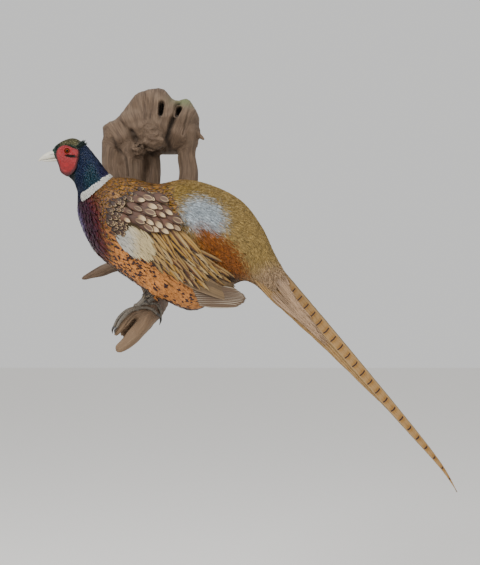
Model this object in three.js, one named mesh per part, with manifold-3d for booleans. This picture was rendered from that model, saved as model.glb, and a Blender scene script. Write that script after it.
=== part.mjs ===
// A cock pheasant mounted on driftwood that hangs on a wall.
// Millimetres. +Z up, +Y into the wall, the bird faces -X. The origin is the hanging point on the
// wood's flat back, so the wall is the plane Y = 0 and the whole object lies at negative Y.
import * as THREE from "three";
import { mergeVertices } from "three/addons/utils/BufferGeometryUtils.js";
import Module from "manifold-3d";

const wasm = await Module();
wasm.setup();

// ---------------------------------------------------------------- driving dimensions
const BIRD_Y = -150; // the bird's middle plane, in front of the wall
const ARCH_DROP = 48; // heights are worked out from the top of the wood's arch, this far below the origin
const GAP = 0.4; // clearance between neighbouring solids
const BODY_SIDES = 18;
const BILL_SIDES = 10;
const EYE_RADIUS = 5.2;
const TAIL_BLADE = 1.2; // thickness of a tail feather
const HANGER_SIZE = [34, 3, 20];

const FEATHER = { brown: 0x7a5a2c, copper: 0x5a2a1c, green: 0x12302c, blue: 0x16284a, rump: 0x8c7f58 };
const WOOD = 0x6d5c4c;

// ---------------------------------------------------------------- small tools
const vec = (x, y, z) => new THREE.Vector3(x, y, z);
const material = (color, roughness = 0.8, metalness = 0) =>
  new THREE.MeshStandardMaterial({ color, roughness, metalness });

// Catmull-Rom value at t of a list of number rows; t = 0 is the first row, t = 1 the second.
function between(rows, t) {
  const i = Math.min(Math.max(Math.floor(t), 0), rows.length - 2);
  const f = t - i;
  const row = (k) => rows[Math.min(Math.max(k, 0), rows.length - 1)];
  return row(i).map((_, c) => {
    const [p0, p1, p2, p3] = [row(i - 1)[c], row(i)[c], row(i + 1)[c], row(i + 2)[c]];
    const bend = (2 * p0 - 5 * p1 + 4 * p2 - p3) * f * f + (3 * p1 - p0 - 3 * p2 + p3) * f ** 3;
    return 0.5 * (2 * p1 + (p2 - p0) * f + bend);
  });
}

// A closed geometry through rings of equal length, with a fan at each end.
function loft(rings) {
  const sides = rings[0].length;
  const points = rings.flat();
  const first = rings[0].reduce((sum, p) => sum.add(p), vec(0, 0, 0)).divideScalar(sides);
  const last = rings.at(-1).reduce((sum, p) => sum.add(p), vec(0, 0, 0)).divideScalar(sides);
  const faces = [];
  for (let r = 0; r < rings.length - 1; r++)
    for (let k = 0; k < sides; k++) {
      const [a, b] = [r * sides + k, r * sides + ((k + 1) % sides)];
      faces.push(a, b, a + sides, b, b + sides, a + sides);
    }
  const [start, end, tail] = [points.length, points.length + 1, (rings.length - 1) * sides];
  for (let k = 0; k < sides; k++) {
    faces.push(start, (k + 1) % sides, k);
    faces.push(end, tail + k, tail + ((k + 1) % sides));
  }
  return new THREE.BufferGeometry().setFromPoints([...points, first, last]).setIndex(faces);
}

// A manifold solid of a geometry, turned the right way out.
function solid(geometry) {
  const plain = geometry.index ? geometry.toNonIndexed() : geometry.clone();
  for (const name of ["normal", "uv"]) plain.deleteAttribute(name);
  const merged = mergeVertices(plain, 1e-4);
  const triVerts = new Uint32Array(merged.index.array);
  const vertProperties = merged.attributes.position.array;
  const make = () => new wasm.Manifold(new wasm.Mesh({ numProp: 3, vertProperties, triVerts }));
  const made = make();
  if (made.volume() > 0) return made;
  triVerts.reverse();
  return make();
}

function geometryOf(manifold) {
  const m = manifold.getMesh();
  const position = new Float32Array(m.numVert * 3);
  for (let i = 0; i < m.numVert; i++) {
    const from = i * m.numProp;
    position.set(m.vertProperties.subarray(from, from + 3), i * 3);
  }
  return new THREE.BufferGeometry()
    .setAttribute("position", new THREE.BufferAttribute(position, 3))
    .setIndex(new THREE.BufferAttribute(new Uint32Array(m.triVerts), 1));
}

// A solid grown by the clearance on every side: the geometry joined with itself, shifted each way.
function swollen(geometry) {
  let sum = solid(geometry);
  for (const axis of [0, 1, 2])
    for (const shift of [-GAP, GAP]) {
      const by = [0, 0, 0];
      by[axis] = shift;
      sum = sum.add(solid(geometry.clone().translate(...by)));
    }
  return sum;
}

// The largest of the bodies that a cut leaves.
const largest = (manifold) =>
  manifold.decompose().reduce((best, next) => (next.volume() > best.volume() ? next : best));

// A tube along points with a radius at each: rings square to the path, oval by `flat`, uneven by `rough`.
function tube(points, radii, { sides = 12, steps = 3, flat = 1, rough = 0, seed = 0, capEnds = true } = {}) {
  const curve = new THREE.CatmullRomCurve3(points, false, "centripetal");
  const count = (points.length - 1) * steps;
  const frames = curve.computeFrenetFrames(count, false);
  const rings = [];
  const ring = (t, radius, shift = 0) => {
    const i = Math.round(t * count);
    const centre = curve.getPoint(t).addScaledVector(frames.tangents[i], shift);
    return Array.from({ length: sides }, (_, k) => {
      const a = (2 * Math.PI * k) / sides;
      const uneven = 1 + rough * (Math.sin(3 * a + 5 * t + seed) + 0.6 * Math.sin(5 * a - 9 * t + 2 * seed));
      return centre
        .clone()
        .addScaledVector(frames.normals[i], Math.cos(a) * radius * uneven)
        .addScaledVector(frames.binormals[i], Math.sin(a) * radius * uneven * flat);
    });
  };
  for (let i = 0; i <= count; i++) {
    const t = i / count;
    const radius = between(radii.map((r) => [r]), t * (radii.length - 1))[0];
    if (i === 0 && capEnds) rings.push(ring(t, radius * 0.6, -radius * 0.45));
    rings.push(ring(t, radius));
    if (i === count && capEnds) rings.push(ring(t, radius * 0.6, radius * 0.45));
  }
  return loft(rings);
}

// A plate that stands on the side of the bird: rings from the middle of an outline to its edge, with
// its outer face at depth(x, z) from the bird's middle plane and its inner face `thick` further in.
function plate(outline, depth, thick, side, rings = 3) {
  const shape = new THREE.CatmullRomCurve3(outline.map(([x, z]) => vec(x, 0, z)), true, "centripetal");
  const edge = shape.getSpacedPoints(Math.round(outline.length * 1.2)).slice(0, -1);
  const middle = edge.reduce((sum, p) => sum.add(p), vec(0, 0, 0)).divideScalar(edge.length);
  const layer = (f, drop) =>
    edge.map((p) => {
      const q = middle.clone().lerp(p, f);
      return vec(q.x, BIRD_Y - side * (depth(q.x, q.z) - drop), q.z);
    });
  const list = [];
  for (let k = 1; k <= rings; k++) list.push(layer(k / rings, (k === rings ? 0.45 : 0) * thick));
  list.push(layer(0.98, 0.7 * thick), layer(0.85, thick));
  return loft(list);
}

const group = new THREE.Group();
group.position.z = -ARCH_DROP;
function add(name, shape, look) {
  const geometry = shape.isBufferGeometry ? shape : geometryOf(shape);
  geometry.computeVertexNormals();
  const mesh = new THREE.Mesh(geometry, look);
  mesh.name = name;
  group.add(mesh);
}

// A block that fills everything on one side of a plane, for thin cuts.
const VAST = 1800;
function halfSpace(x, z, angle, shift) {
  const block = new THREE.BoxGeometry(VAST, VAST, VAST);
  block.translate(VAST / 2 + shift, 0, 0);
  block.rotateY(-angle);
  block.translate(x, BIRD_Y, z);
  return solid(block);
}

// A block that fills everything past one plane: from `at` along an axis, upwards or downwards.
function beyond(axis, at, way) {
  const centre = [0, 0, 0];
  centre[axis] = at + way * VAST * 0.5;
  return solid(new THREE.BoxGeometry(VAST, VAST, VAST).translate(...centre));
}

// Parts a solid at a plane that is square to the side view: what lies ahead of it, and what lies behind.
function part(whole, x, z, angle) {
  return [whole.subtract(halfSpace(x, z, angle, -GAP / 2)), whole.intersect(halfSpace(x, z, angle, GAP / 2))];
}

// ---------------------------------------------------------------- the bird's body
// Each row: back x, z; belly x, z; half width. From the bill's root to the tail's root.
const BODY = [
  [-157, 1, -149, -18, 8],
  [-147, 10, -145, -27, 14],
  [-136, 16, -138, -37, 17.5],
  [-123, 19, -130, -43, 18.5],
  [-112, 15, -122, -51, 19],
  [-99, 5, -118, -61, 20],
  [-85, -12, -116, -69, 22],
  [-62, -41, -116, -85, 29],
  [-45, -44, -116, -101, 41],
  [-24, -46, -110, -122, 52],
  [-3, -52, -99, -146, 60],
  [16, -54, -82, -170, 64],
  [56, -48, -32, -208, 67],
  [101, -58, 22, -240, 64],
  [146, -82, 76, -256, 51],
  [178, -122, 138, -213, 36],
  [200, -168, 165, -213, 26],
  [220, -203, 191, -237, 17],
];
const WIDEST = 0.1; // how far above the middle the body is widest, as a share of its half depth
const NECK_AT = 4.35; // where the neck begins and ends, in rows of BODY
const COLLAR_AT = 6.9;
const RUMP_AT = 14.6;

function bodyRing(t, grow = 0, sides = BODY_SIDES) {
  const [bx, bz, vx, vz, half] = between(BODY, t);
  const centre = vec((bx + vx) / 2, BIRD_Y, (bz + vz) / 2);
  const up = vec((bx - vx) / 2, 0, (bz - vz) / 2);
  const deep = up.length();
  up.normalize();
  return Array.from({ length: sides }, (_, k) => {
    const a = (2 * Math.PI * k) / sides;
    const rise = Math.cos(a) * (deep + grow) + WIDEST * deep * Math.sin(a) ** 2;
    return centre.clone().addScaledVector(up, rise).add(vec(0, Math.sin(a) * (half + grow), 0));
  });
}

function body(grow = 0, from = 0, to = BODY.length - 1, steps = 2) {
  const rings = [];
  for (let i = 0; i <= (to - from) * steps; i++) rings.push(bodyRing(from + i / steps, grow));
  return loft(rings);
}

// How far the body's side stands from the middle plane at a place in the side view.
const bodyMesh = new THREE.Mesh(body(), new THREE.MeshBasicMaterial({ side: THREE.DoubleSide }));
const ray = new THREE.Raycaster();
function bodySide(x, z) {
  ray.set(vec(x, BIRD_Y - 300, z), vec(0, 1, 0));
  const hit = ray.intersectObject(bodyMesh)[0];
  return hit ? BIRD_Y - hit.point.y : 0;
}

const sectionAngle = (t) => {
  const [bx, bz, vx, vz] = between(BODY, t);
  return Math.atan2(bz - vz, bx - vx) - Math.PI / 2;
};
function partBody(whole, t) {
  const [bx, bz, vx, vz] = between(BODY, t);
  return part(whole, (bx + vx) / 2, (bz + vz) / 2, sectionAngle(t));
}

const wholeBody = solid(body());
const grownBody = solid(body(GAP));
const [headAndBill, behindHead] = partBody(wholeBody, NECK_AT);
const [neck, trunkAndRump] = partBody(behindHead, COLLAR_AT);
const [trunk, rump] = partBody(trunkAndRump, RUMP_AT);

// ---------------------------------------------------------------- eyes, bill and face
const EYE_AT = { x: -130.5, z: -3, out: 14.4 };
const eyeBall = (side, grow) => {
  const ball = new THREE.SphereGeometry(EYE_RADIUS + grow, 10, 6);
  return solid(ball.translate(EYE_AT.x, BIRD_Y - side * EYE_AT.out, EYE_AT.z));
};

// Rows: top x, z; bottom x, z; half width, from the root to the tip.
const BILL_UPPER = [
  [-155.5, -0.5, -149.5, -13.2, 7.6],
  [-162, -3, -157, -14.4, 6.6],
  [-169, -6.8, -165, -15.4, 5.2],
  [-175, -12, -172, -16.3, 3.4],
  [-179, -17.4, -177.6, -18.2, 1.1],
];
const BILL_LOWER = [
  [-149.8, -13.9, -149.8, -18, 6.4],
  [-157, -15, -157, -18.6, 5.4],
  [-165, -16, -165, -18.6, 4],
  [-172, -16.9, -171.5, -18.2, 2],
];
function mandible(rows, rounded) {
  const rings = [];
  const steps = (rows.length - 1) * 2;
  for (let i = 0; i <= steps; i++) {
    const [tx, tz, bx, bz, half] = between(rows, (i * (rows.length - 1)) / steps);
    const ring = [];
    for (let k = 0; k < BILL_SIDES; k++) {
      const a = (2 * Math.PI * k) / BILL_SIDES;
      const high = 0.5 + 0.5 * Math.sign(Math.cos(a)) * Math.abs(Math.cos(a)) ** rounded;
      ring.push(vec(bx + (tx - bx) * high, BIRD_Y + Math.sin(a) * half, bz + (tz - bz) * high));
    }
    rings.push(ring);
  }
  return solid(loft(rings));
}
const billRoot = solid(body(GAP, 0, 3));
const billUpper = largest(mandible(BILL_UPPER, 0.8).subtract(billRoot));
const billLower = largest(mandible(BILL_LOWER, 0.8).subtract(billRoot));

const WATTLE = [
  [-149, -7], [-145.5, 1], [-139, 5.5], [-131, 6], [-121.5, 2], [-112.5, -1.5], [-111, -10],
  [-113.5, -21], [-117, -32], [-125, -40], [-134, -41.5], [-141.5, -36], [-144.5, -26], [-147.5, -16],
];
const FACE_SKIN = 2.4; // the bare skin's thickness over the head, thinner round the eye
const LIDS = { reach: 8, thin: 1.4 };
const LOBE_OUT = 13.5; // the lobe hangs clear of the throat, at least this far from the middle plane
const EAR_TUFT = { x: -113, z: 4, out: 15, length: 15, radius: 3 };
const faceSide = (x, z) => {
  const near = Math.exp(-((Math.hypot(x - EYE_AT.x, z - EYE_AT.z) / LIDS.reach) ** 2));
  return Math.max(bodySide(x, z) + FACE_SKIN - LIDS.thin * near, LOBE_OUT);
};

let head = headAndBill;
for (const [name, side] of [["left", 1], ["right", -1]]) {
  const ball = eyeBall(side, GAP);
  const face = solid(plate(WATTLE, faceSide, 5, side));
  add(`wattle_${name}`, largest(face.subtract(grownBody).subtract(ball)), material(0xa01818, 0.55));
  head = head.subtract(ball);
  add(`eye_${name}`, eyeBall(side, 0), material(0x2a1408, 0.1));
  const { x, z, out, length, radius } = EAR_TUFT;
  const root = vec(x, BIRD_Y - side * out, z);
  const tip = root.clone().add(vec(length * 0.8, -side * length * 0.3, length * 0.55));
  const stem = [root, root.clone().lerp(tip, 0.5), tip];
  const tuft = solid(tube(stem, [radius, radius, 0.8], { sides: 6, steps: 1 }));
  add(`ear_tuft_${name}`, largest(tuft.subtract(grownBody).subtract(face)), material(FEATHER.green, 0.5));
}
add("head", largest(head), material(FEATHER.green, 0.5));
add("bill_upper", billUpper, material(0xcfc9b4, 0.4));
add("bill_lower", billLower, material(0xc4bca4, 0.4));
add("neck", neck, material(FEATHER.blue, 0.45));

// ---------------------------------------------------------------- wings
// The folded wing in the side view, from the shoulder round by the back to the wing's lower edge.
const WING = [
  [-62, -92], [-42, -76], [-10, -66], [14, -66], [34, -90], [47, -126], [76, -159], [101, -184],
  [125, -205], [140, -222], [126, -237], [94, -235], [66, -217], [46, -203], [24, -190], [-6, -179],
  [-30, -165], [-48, -150], [-59, -130], [-64, -110],
];
const WING_THICK = 9;
const HAND = [
  [70, -232], [104, -222], [136, -219], [150, -228], [155, -238], [146, -246], [118, -251], [78, -250],
];
// The wing follows the body's side. Where the body falls away it keeps clear of the rump, and its
// upper edge is tucked in over the back.
const wingSide = (x, z) => {
  const tuck = THREE.MathUtils.clamp(1 + ((x - 42) * 0.8 + (z + 88) * 0.6) / 45, 0, 1);
  const clear = 56 - 0.22 * Math.max(x - 30, 0) - 0.03 * Math.abs(z + 150) - 18 * tuck ** 2;
  return Math.max(bodySide(x, z), clear) + WING_THICK;
};
const handSide = (x, z) => 47 - 0.22 * (x - 90) + 0.02 * (z + 240);
for (const [name, side] of [["left", 1], ["right", -1]]) {
  const wing = plate(WING, wingSide, WING_THICK + 5, side);
  const hand = solid(plate(HAND, handSide, 5, side, 2)).subtract(grownBody).subtract(swollen(wing));
  add(`wing_${name}`, largest(solid(wing).subtract(grownBody)), material(FEATHER.brown));
  add(`wing_${name}_primaries`, largest(hand), material(0x8a7d6c));
}

// ---------------------------------------------------------------- tail
// The ridge of the roof-shaped tail, where the middle pair's shafts run.
const RIDGE_POINTS = [[192, -166], [226, -206], [320, -318], [416, -435], [468, -503], [492, -547]];
const RIDGE = new THREE.CatmullRomCurve3(RIDGE_POINTS.map(([x, z]) => vec(x, 0, z)), false, "centripetal");
// name, where it ends along the ridge, how far down the slope its shaft starts and ends, its width
const TAIL_FEATHERS = [
  ["centre", 1, 13.5, 1, 25],
  ["second", 0.74, 19, 11, 24],
  ["third", 0.52, 25, 22, 24],
  ["fourth", 0.34, 31, 33, 22],
  ["outer", 0.2, 38, 41, 20],
];
const SLOPE = THREE.MathUtils.degToRad(62); // the slope of each side of the roof
const LAYER = TAIL_BLADE + GAP;
const TAIL_STEPS = 6;

function tailFeather([, end, startDown, endDown, width], depth, side) {
  const rings = [];
  for (let i = 0; i <= TAIL_STEPS; i++) {
    const f = 1 - (1 - i / TAIL_STEPS) ** 1.5; // closer together at the tip, where it narrows
    const t = end * f;
    const along = RIDGE.getTangentAt(t);
    const square = vec(-along.z, 0, along.x); // towards the bird's back
    const fall = square.clone().multiplyScalar(-Math.sin(SLOPE)).add(vec(0, -side * Math.cos(SLOPE), 0));
    const under = square.clone().multiplyScalar(-Math.cos(SLOPE)).add(vec(0, side * Math.sin(SLOPE), 0));
    const half = (width / 2) * Math.max((1 - 0.35 * t) * (1 - f ** 5), 0.08);
    const down = Math.max(startDown + (endDown - startDown) * f, half + 2 * GAP);
    const centre = RIDGE.getPointAt(t).add(vec(0, BIRD_Y, 0));
    centre.addScaledVector(fall, down).addScaledVector(under, depth * LAYER);
    const edge = (out, up) => centre.clone().addScaledVector(fall, out).addScaledVector(under, up);
    const [thick, rim] = [TAIL_BLADE / 2, TAIL_BLADE / 4];
    const upper = [edge(-half, rim), edge(-half, -rim), edge(0, -thick)];
    const lower = [edge(half, -rim), edge(half, rim), edge(0, thick)];
    rings.push([...upper, ...lower]);
  }
  return solid(loft(rings));
}
for (const [name, side] of [["left", 1], ["right", -1]])
  TAIL_FEATHERS.forEach((row, depth) => {
    const feather = largest(tailFeather(row, depth, side).subtract(grownBody));
    add(`tail_${row[0]}_${name}`, feather, material(0x8f7b58));
  });

// ---------------------------------------------------------------- legs and feet
// Each leg: hock, foot, then the toes as paths whose last stretch carries the claw.
const LEGS = {
  left: {
    hock: [16, -172, -210],
    foot: [-20, -173, -251],
    toes: {
      middle: [[-20, -174, -252], [-35, -178, -257], [-47, -184, -268], [-54, -188, -281]],
      inner: [[-20, -171, -252], [-28, -164, -255], [-30, -159, -266], [-28, -156, -279]],
      outer: [[-20, -176, -252], [-30, -186, -257], [-42, -195, -270], [-49, -198, -282]],
      hind: [[-18, -172, -252], [-8, -164, -251], [2, -155, -254], [10, -147, -261]],
    },
  },
  right: {
    hock: [32, -128, -208],
    foot: [-6, -127, -247],
    toes: {
      middle: [[-6, -126, -248], [-16, -123, -249], [-22, -119, -262], [-20, -117, -275]],
      inner: [[-6, -129, -248], [-18, -137, -254], [-25, -141, -264], [-25, -143, -276]],
      outer: [[-6, -124, -248], [-14, -112, -248], [-21, -103, -256], [-21, -98, -268]],
      hind: [[-4, -127, -248], [7, -126, -247], [15, -125, -256], [15.5, -124, -268]],
    },
  },
};
const SHANK = [5.2, 3.6, 3.8, 5];
const TOE = [3.4, 3.2, 2.9, 2.2];
const CLAW = [2, 1.6, 0.5];
const CLAW_LENGTH = 12;
const THIGH = { reach: [22, 4, 30], radius: [30, 23, 8], end: 0.55 };
const SPUR = { along: 0.72, length: 9, radius: 2.6 };
const FOOT_PAD = 6.2;
const LIMB_ENDS = { steps: 1, capEnds: false };
const toVec = (p) => vec(...p);
const footCuts = [];

for (const [name, leg] of Object.entries(LEGS)) {
  const side = name === "left" ? 1 : -1;
  const [hock, foot] = [toVec(leg.hock), toVec(leg.foot)];
  const shankPath = [hock, hock.clone().lerp(foot, 0.35), hock.clone().lerp(foot, 0.8), foot];
  const shankSolid = solid(tube(shankPath, SHANK, { sides: 6, ...LIMB_ENDS }));
  const grownShank = solid(tube(shankPath, SHANK.map((r) => r + GAP), { sides: 6, ...LIMB_ENDS }));
  const spurRoot = hock.clone().lerp(foot, SPUR.along).add(vec(2.6, 0, -1.5));
  const spurTip = spurRoot.clone().add(vec(0.8, side * 0.3, -0.5).multiplyScalar(SPUR.length));
  const spurPath = [spurRoot, spurRoot.clone().lerp(spurTip, 0.5), spurTip];
  const spur = solid(tube(spurPath, [SPUR.radius, 1.8, 0.5], { sides: 5, ...LIMB_ENDS }));

  // the toes meet under the shank in one pad
  const pad = new THREE.SphereGeometry(FOOT_PAD, 6, 4).scale(1.1, 1, 0.75);
  let toes = solid(pad.translate(foot.x, foot.y, foot.z - 1));
  const claws = [];
  for (const [toe, path] of Object.entries(leg.toes)) {
    const points = path.map(toVec);
    toes = toes.add(solid(tube(points, TOE, { sides: 5, ...LIMB_ENDS })));
    const tip = points.at(-1);
    const onward = tip.clone().sub(points.at(-2)).normalize();
    const bend = tip.clone().addScaledVector(onward, CLAW_LENGTH * 0.5);
    const hook = vec(onward.x < 0 ? 2.4 : -2.4, 0, -2);
    const end = bend.clone().addScaledVector(onward, CLAW_LENGTH * 0.4).add(hook);
    claws.push([toe, tip.clone().addScaledVector(onward, 1.6), bend, end]);
  }
  const footSolid = largest(toes.subtract(grownShank));
  footCuts.push({ name, side, hock, foot, leg, shankSolid, grownShank, spur, footSolid, claws });
}

// ---------------------------------------------------------------- driftwood
// A dome over an outline in the wall's plane, flat on the wall, with ridges that fan out from its foot.
function burl(outline, height, ridge) {
  const shape = new THREE.CatmullRomCurve3(outline.map(([x, z]) => vec(x, 0, z)), true, "centripetal");
  const edge = shape.getSpacedPoints(Math.round(outline.length * 1.2)).slice(0, -1);
  const middle = edge.reduce((sum, p) => sum.add(p), vec(0, 0, 0)).divideScalar(edge.length);
  const layers = [0.35, 0.65, 0.86, 1];
  const rings = layers.map((f) =>
    edge.map((p) => {
      const q = middle.clone().lerp(p, f);
      const angle = Math.atan2(p.z - middle.z, p.x - middle.x);
      const dome = Math.sqrt(Math.max(1 - f ** 3.2, 0));
      return vec(q.x, -(height * (0.28 + 0.72 * dome) + ridge * Math.sin(9 * angle) * f * dome), q.z);
    }),
  );
  rings.push(edge.map((p) => vec(p.x, 6, p.z)));
  return solid(loft(rings));
}
const CROWN = [
  [-84, 7], [-87, 24], [-89, 50], [-77, 59], [-61, 69], [-49, 86], [-35, 104], [-17, 114], [12, 116],
  [23, 107], [35, 96], [55, 99], [67, 86], [75, 69], [75, 52], [74, 32], [69, 14], [37, 5], [-7, 5], [-57, 1],
];
const CROWN_HEIGHT = 62;
const KNOTS = [
  { at: [0, -50, 24], size: [22, 22, 17] },
  { at: [-26, -50, 12], size: [14, 20, 13] },
];
const SLITS = [
  { at: [12, 73], size: [3.4, 13], lean: 0.12 },
  { at: [41, 71], size: [3.4, 7], lean: 0.3 },
];
const SPLIT = { roots: -4, middle: 20, bough: -128, perch: -64 }; // where the wood is parted: z, x, z and y
// Limbs: the path, the radii and how uneven they are. They run into each other behind the bird.
const LIMBS = {
  left_root: [[[-64, -28, 24], [-64, -28, -22], [-50, -30, -70], [-24, -32, -116]], [24, 23, 22, 26], 0.05],
  inner_root: [[[-40, -34, 20], [-38, -36, -20], [-32, -34, -70], [-18, -32, -120]], [21, 20, 20, 24], 0.06],
  back_root: [[[-8, -14, 14], [-6, -15, -24], [-8, -20, -76], [-12, -26, -120]], [15, 16, 18, 22], 0.05],
  snag: [[[66, -34, 46], [75, -36, 35], [83, -37, 28]], [7, 4.5, 1.8], 0.03],
  right_root: [
    [[58, -30, 40], [55, -30, 4], [57, -30, -40], [44, -30, -88], [10, -30, -134]],
    [20, 16, 17, 20, 26], 0.06,
  ],
  bough: [[[-20, -32, -90], [-8, -32, -150], [0, -34, -205], [6, -36, -244]], [34, 33, 27, 19], 0.05],
  stub: [[[-31, -42, -168], [-73, -46, -186], [-96, -50, -196], [-116, -53, -205]], [12, 10, 8.5, 5], 0.04],
  perch: [
    [
      [6, -34, -240], [3, -74, -250], [0, -112, -260], [-6, -146, -270],
      [-14.5, -170, -284.5], [-30, -186, -304], [-45, -196, -315],
    ],
    [18.5, 17.5, 17, 16.5, 14, 12, 8], 0.05,
  ],
  prong: [[[-6, -150, -260], [-24, -176, -262], [-38, -188, -276], [-50, -194, -293]], [9, 7.5, 7, 4.5], 0.05],
  web: [[[-10, -146, -266], [-39, -181, -292]], [9, 6], 0.05],
};
const GRIPPED = ["perch", "prong", "web"]; // what the feet hold
let wood = burl(CROWN, CROWN_HEIGHT, 3);
for (const { at, size } of KNOTS)
  wood = wood.add(solid(new THREE.IcosahedronGeometry(1, 1).scale(...size).translate(...at)));
function limb(name, grow = 0) {
  const [path, radii, rough] = LIMBS[name];
  const seed = Object.keys(LIMBS).indexOf(name);
  return solid(tube(path.map(toVec), radii.map((r) => r + grow), { sides: 8, steps: 1, rough, seed }));
}
for (const name of Object.keys(LIMBS)) wood = wood.add(limb(name));
const gripped = GRIPPED.map((name) => limb(name, GAP)).reduce((all, one) => all.add(one));
for (const { at, size, lean } of SLITS) {
  const slit = new THREE.CylinderGeometry(1, 1, 200, 8);
  slit.scale(size[0], 1, size[1]).rotateY(lean).translate(at[0], -80, at[1]);
  wood = wood.subtract(solid(slit));
}
// the flat sawn back lies on the wall
wood = wood.subtract(beyond(1, 0, 1));
// a plate let into the back carries the hanging hook
const [hangerX, hangerY, hangerZ] = HANGER_SIZE;
const hangerAt = [0, -hangerY / 2, ARCH_DROP + 26];
const pocket = new THREE.BoxGeometry(hangerX + 2 * GAP, hangerY + 2 * GAP, hangerZ + 2 * GAP);
wood = wood.subtract(solid(pocket.translate(hangerAt[0], hangerAt[1] + GAP, hangerAt[2])));

// Parts a solid at a level plane: what lies above it, and what lies below.
const partLevel = (whole, z) => [
  whole.subtract(beyond(2, z + GAP / 2, -1)),
  whole.intersect(beyond(2, z - GAP / 2, -1)),
];
const [crown, belowCrown] = partLevel(wood, SPLIT.roots);
const [roots, lower] = partLevel(belowCrown, SPLIT.bough);
const woodParts = {
  crown,
  left_root: roots.intersect(beyond(0, SPLIT.middle - GAP / 2, -1)),
  right_root: roots.intersect(beyond(0, SPLIT.middle + GAP / 2, 1)),
  bough: lower.intersect(beyond(1, SPLIT.perch + GAP / 2, 1)),
  perch: lower.intersect(beyond(1, SPLIT.perch - GAP / 2, -1)),
};
for (const [name, piece] of Object.entries(woodParts))
  add(`driftwood_${name}`, largest(piece), material(WOOD, 0.9));

// ---------------------------------------------------------------- setting the bird on its perch
for (const { name, side, hock, foot, shankSolid, grownShank, spur, footSolid, claws } of footCuts) {
  const [reachX, reachY, reachZ] = THIGH.reach;
  const top = hock.clone().add(vec(reachX, side * reachY, reachZ));
  const path = [top, top.clone().lerp(hock, 0.75), hock.clone().lerp(foot, THIGH.end)];
  const flesh = solid(tube(path, THIGH.radius, { sides: 9, steps: 1 }));
  const thigh = largest(flesh.subtract(grownBody).subtract(grownShank));
  add(`thigh_${name}`, thigh, material(0x3c3018));
  const shank = largest(shankSolid.subtract(grownBody).subtract(gripped));
  add(`shank_${name}`, shank, material(0x6a6258, 0.6));
  add(`spur_${name}`, largest(spur.subtract(grownShank)), material(0x3a342c, 0.4));
  add(`foot_${name}`, largest(footSolid.subtract(gripped)), material(0x6a6258, 0.6));
  for (const [toe, root, bend, end] of claws) {
    const horn = solid(tube([root, bend, end], CLAW, { sides: 5, ...LIMB_ENDS }));
    add(`claw_${name}_${toe}`, largest(horn.subtract(footSolid).subtract(gripped)), material(0x2c2620, 0.4));
  }
}
add("trunk", trunk, material(FEATHER.copper));
add("rump", rump, material(FEATHER.rump));
const hanger = new THREE.BoxGeometry(...HANGER_SIZE).translate(...hangerAt);
add("hanger_plate", hanger, material(0x77777a, 0.4, 1));

export default group;
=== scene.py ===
"""A taxidermy ring-necked cock pheasant on the driftwood that hangs it on a wall.

Shapes are worked out in millimetres in the part's own axes (+Z up, +Y into the wall, the bird
faces -X), with heights measured from the top of the wood's arch, and turned into metres as each
mesh is made.
"""

import math

import bpy
import numpy as np
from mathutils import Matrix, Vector, noise as noise_3d
from mathutils.kdtree import KDTree


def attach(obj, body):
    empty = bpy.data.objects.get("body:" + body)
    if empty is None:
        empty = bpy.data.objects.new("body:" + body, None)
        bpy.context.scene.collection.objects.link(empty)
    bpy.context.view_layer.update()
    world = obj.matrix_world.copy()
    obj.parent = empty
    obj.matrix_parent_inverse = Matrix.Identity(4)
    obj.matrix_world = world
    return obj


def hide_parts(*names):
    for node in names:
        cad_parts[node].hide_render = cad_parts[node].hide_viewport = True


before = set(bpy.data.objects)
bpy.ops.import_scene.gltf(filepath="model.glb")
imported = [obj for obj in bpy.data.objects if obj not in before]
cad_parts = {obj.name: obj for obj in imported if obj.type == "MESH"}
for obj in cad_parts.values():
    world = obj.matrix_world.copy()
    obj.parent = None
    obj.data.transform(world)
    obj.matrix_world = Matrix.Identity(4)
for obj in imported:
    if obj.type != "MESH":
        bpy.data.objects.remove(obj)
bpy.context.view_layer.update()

# ---------------------------------------------------------------- driving dimensions, in millimetres
ARCH_DROP = 48.0  # the origin lies this far above the top of the wood's arch
BIRD_Y = -150.0  # the bird's middle plane
WIDEST = 0.1  # how far above the middle the body is widest, as a share of its half depth
SIDE_STEP = 2.5  # how fine the grid is that holds the body's width in the side view
SIDES = {"left": 1.0, "right": -1.0}
rng = np.random.default_rng(7)

# The plumage's outer form: back x, z; belly x, z; half width, from the bill's root to the tail's.
BODY = np.array([
    [-157, 1, -149, -18, 8],
    [-147, 10, -145, -27, 14],
    [-136, 16, -138, -37, 17.5],
    [-123, 19, -130, -43, 18.5],
    [-112, 15, -122, -51, 19],
    [-99, 5, -118, -61, 20],
    [-85, -12, -116, -69, 22],
    [-62, -41, -116, -85, 29],
    [-45, -44, -116, -101, 41],
    [-24, -46, -110, -122, 52],
    [-3, -52, -99, -146, 60],
    [16, -54, -82, -170, 64],
    [56, -48, -32, -208, 67],
    [101, -58, 22, -240, 64],
    [146, -82, 76, -256, 51],
    [178, -122, 138, -213, 36],
    [200, -168, 165, -213, 26],
    [220, -203, 191, -237, 17],
], float)
NECK_AT = 4.35  # the row where the head's feathers give way to the neck's
TAIL_AT = len(BODY) - 1.0
COLLAR_ENDS = 2.4  # how far round from the back the white collar reaches


# ---------------------------------------------------------------- numbers and places
def linear(code):
    """The linear colour of a screen colour such as 0x8a5a2b."""
    screen = np.array([(code >> 16) & 255, (code >> 8) & 255, code & 255]) / 255
    return np.where(screen <= 0.04045, screen / 12.92, ((screen + 0.055) / 1.055) ** 2.4)


def smooth(value, low, high):
    f = np.clip((np.asarray(value, float) - low) / (high - low), 0, 1)
    return f * f * (3 - 2 * f)


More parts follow.
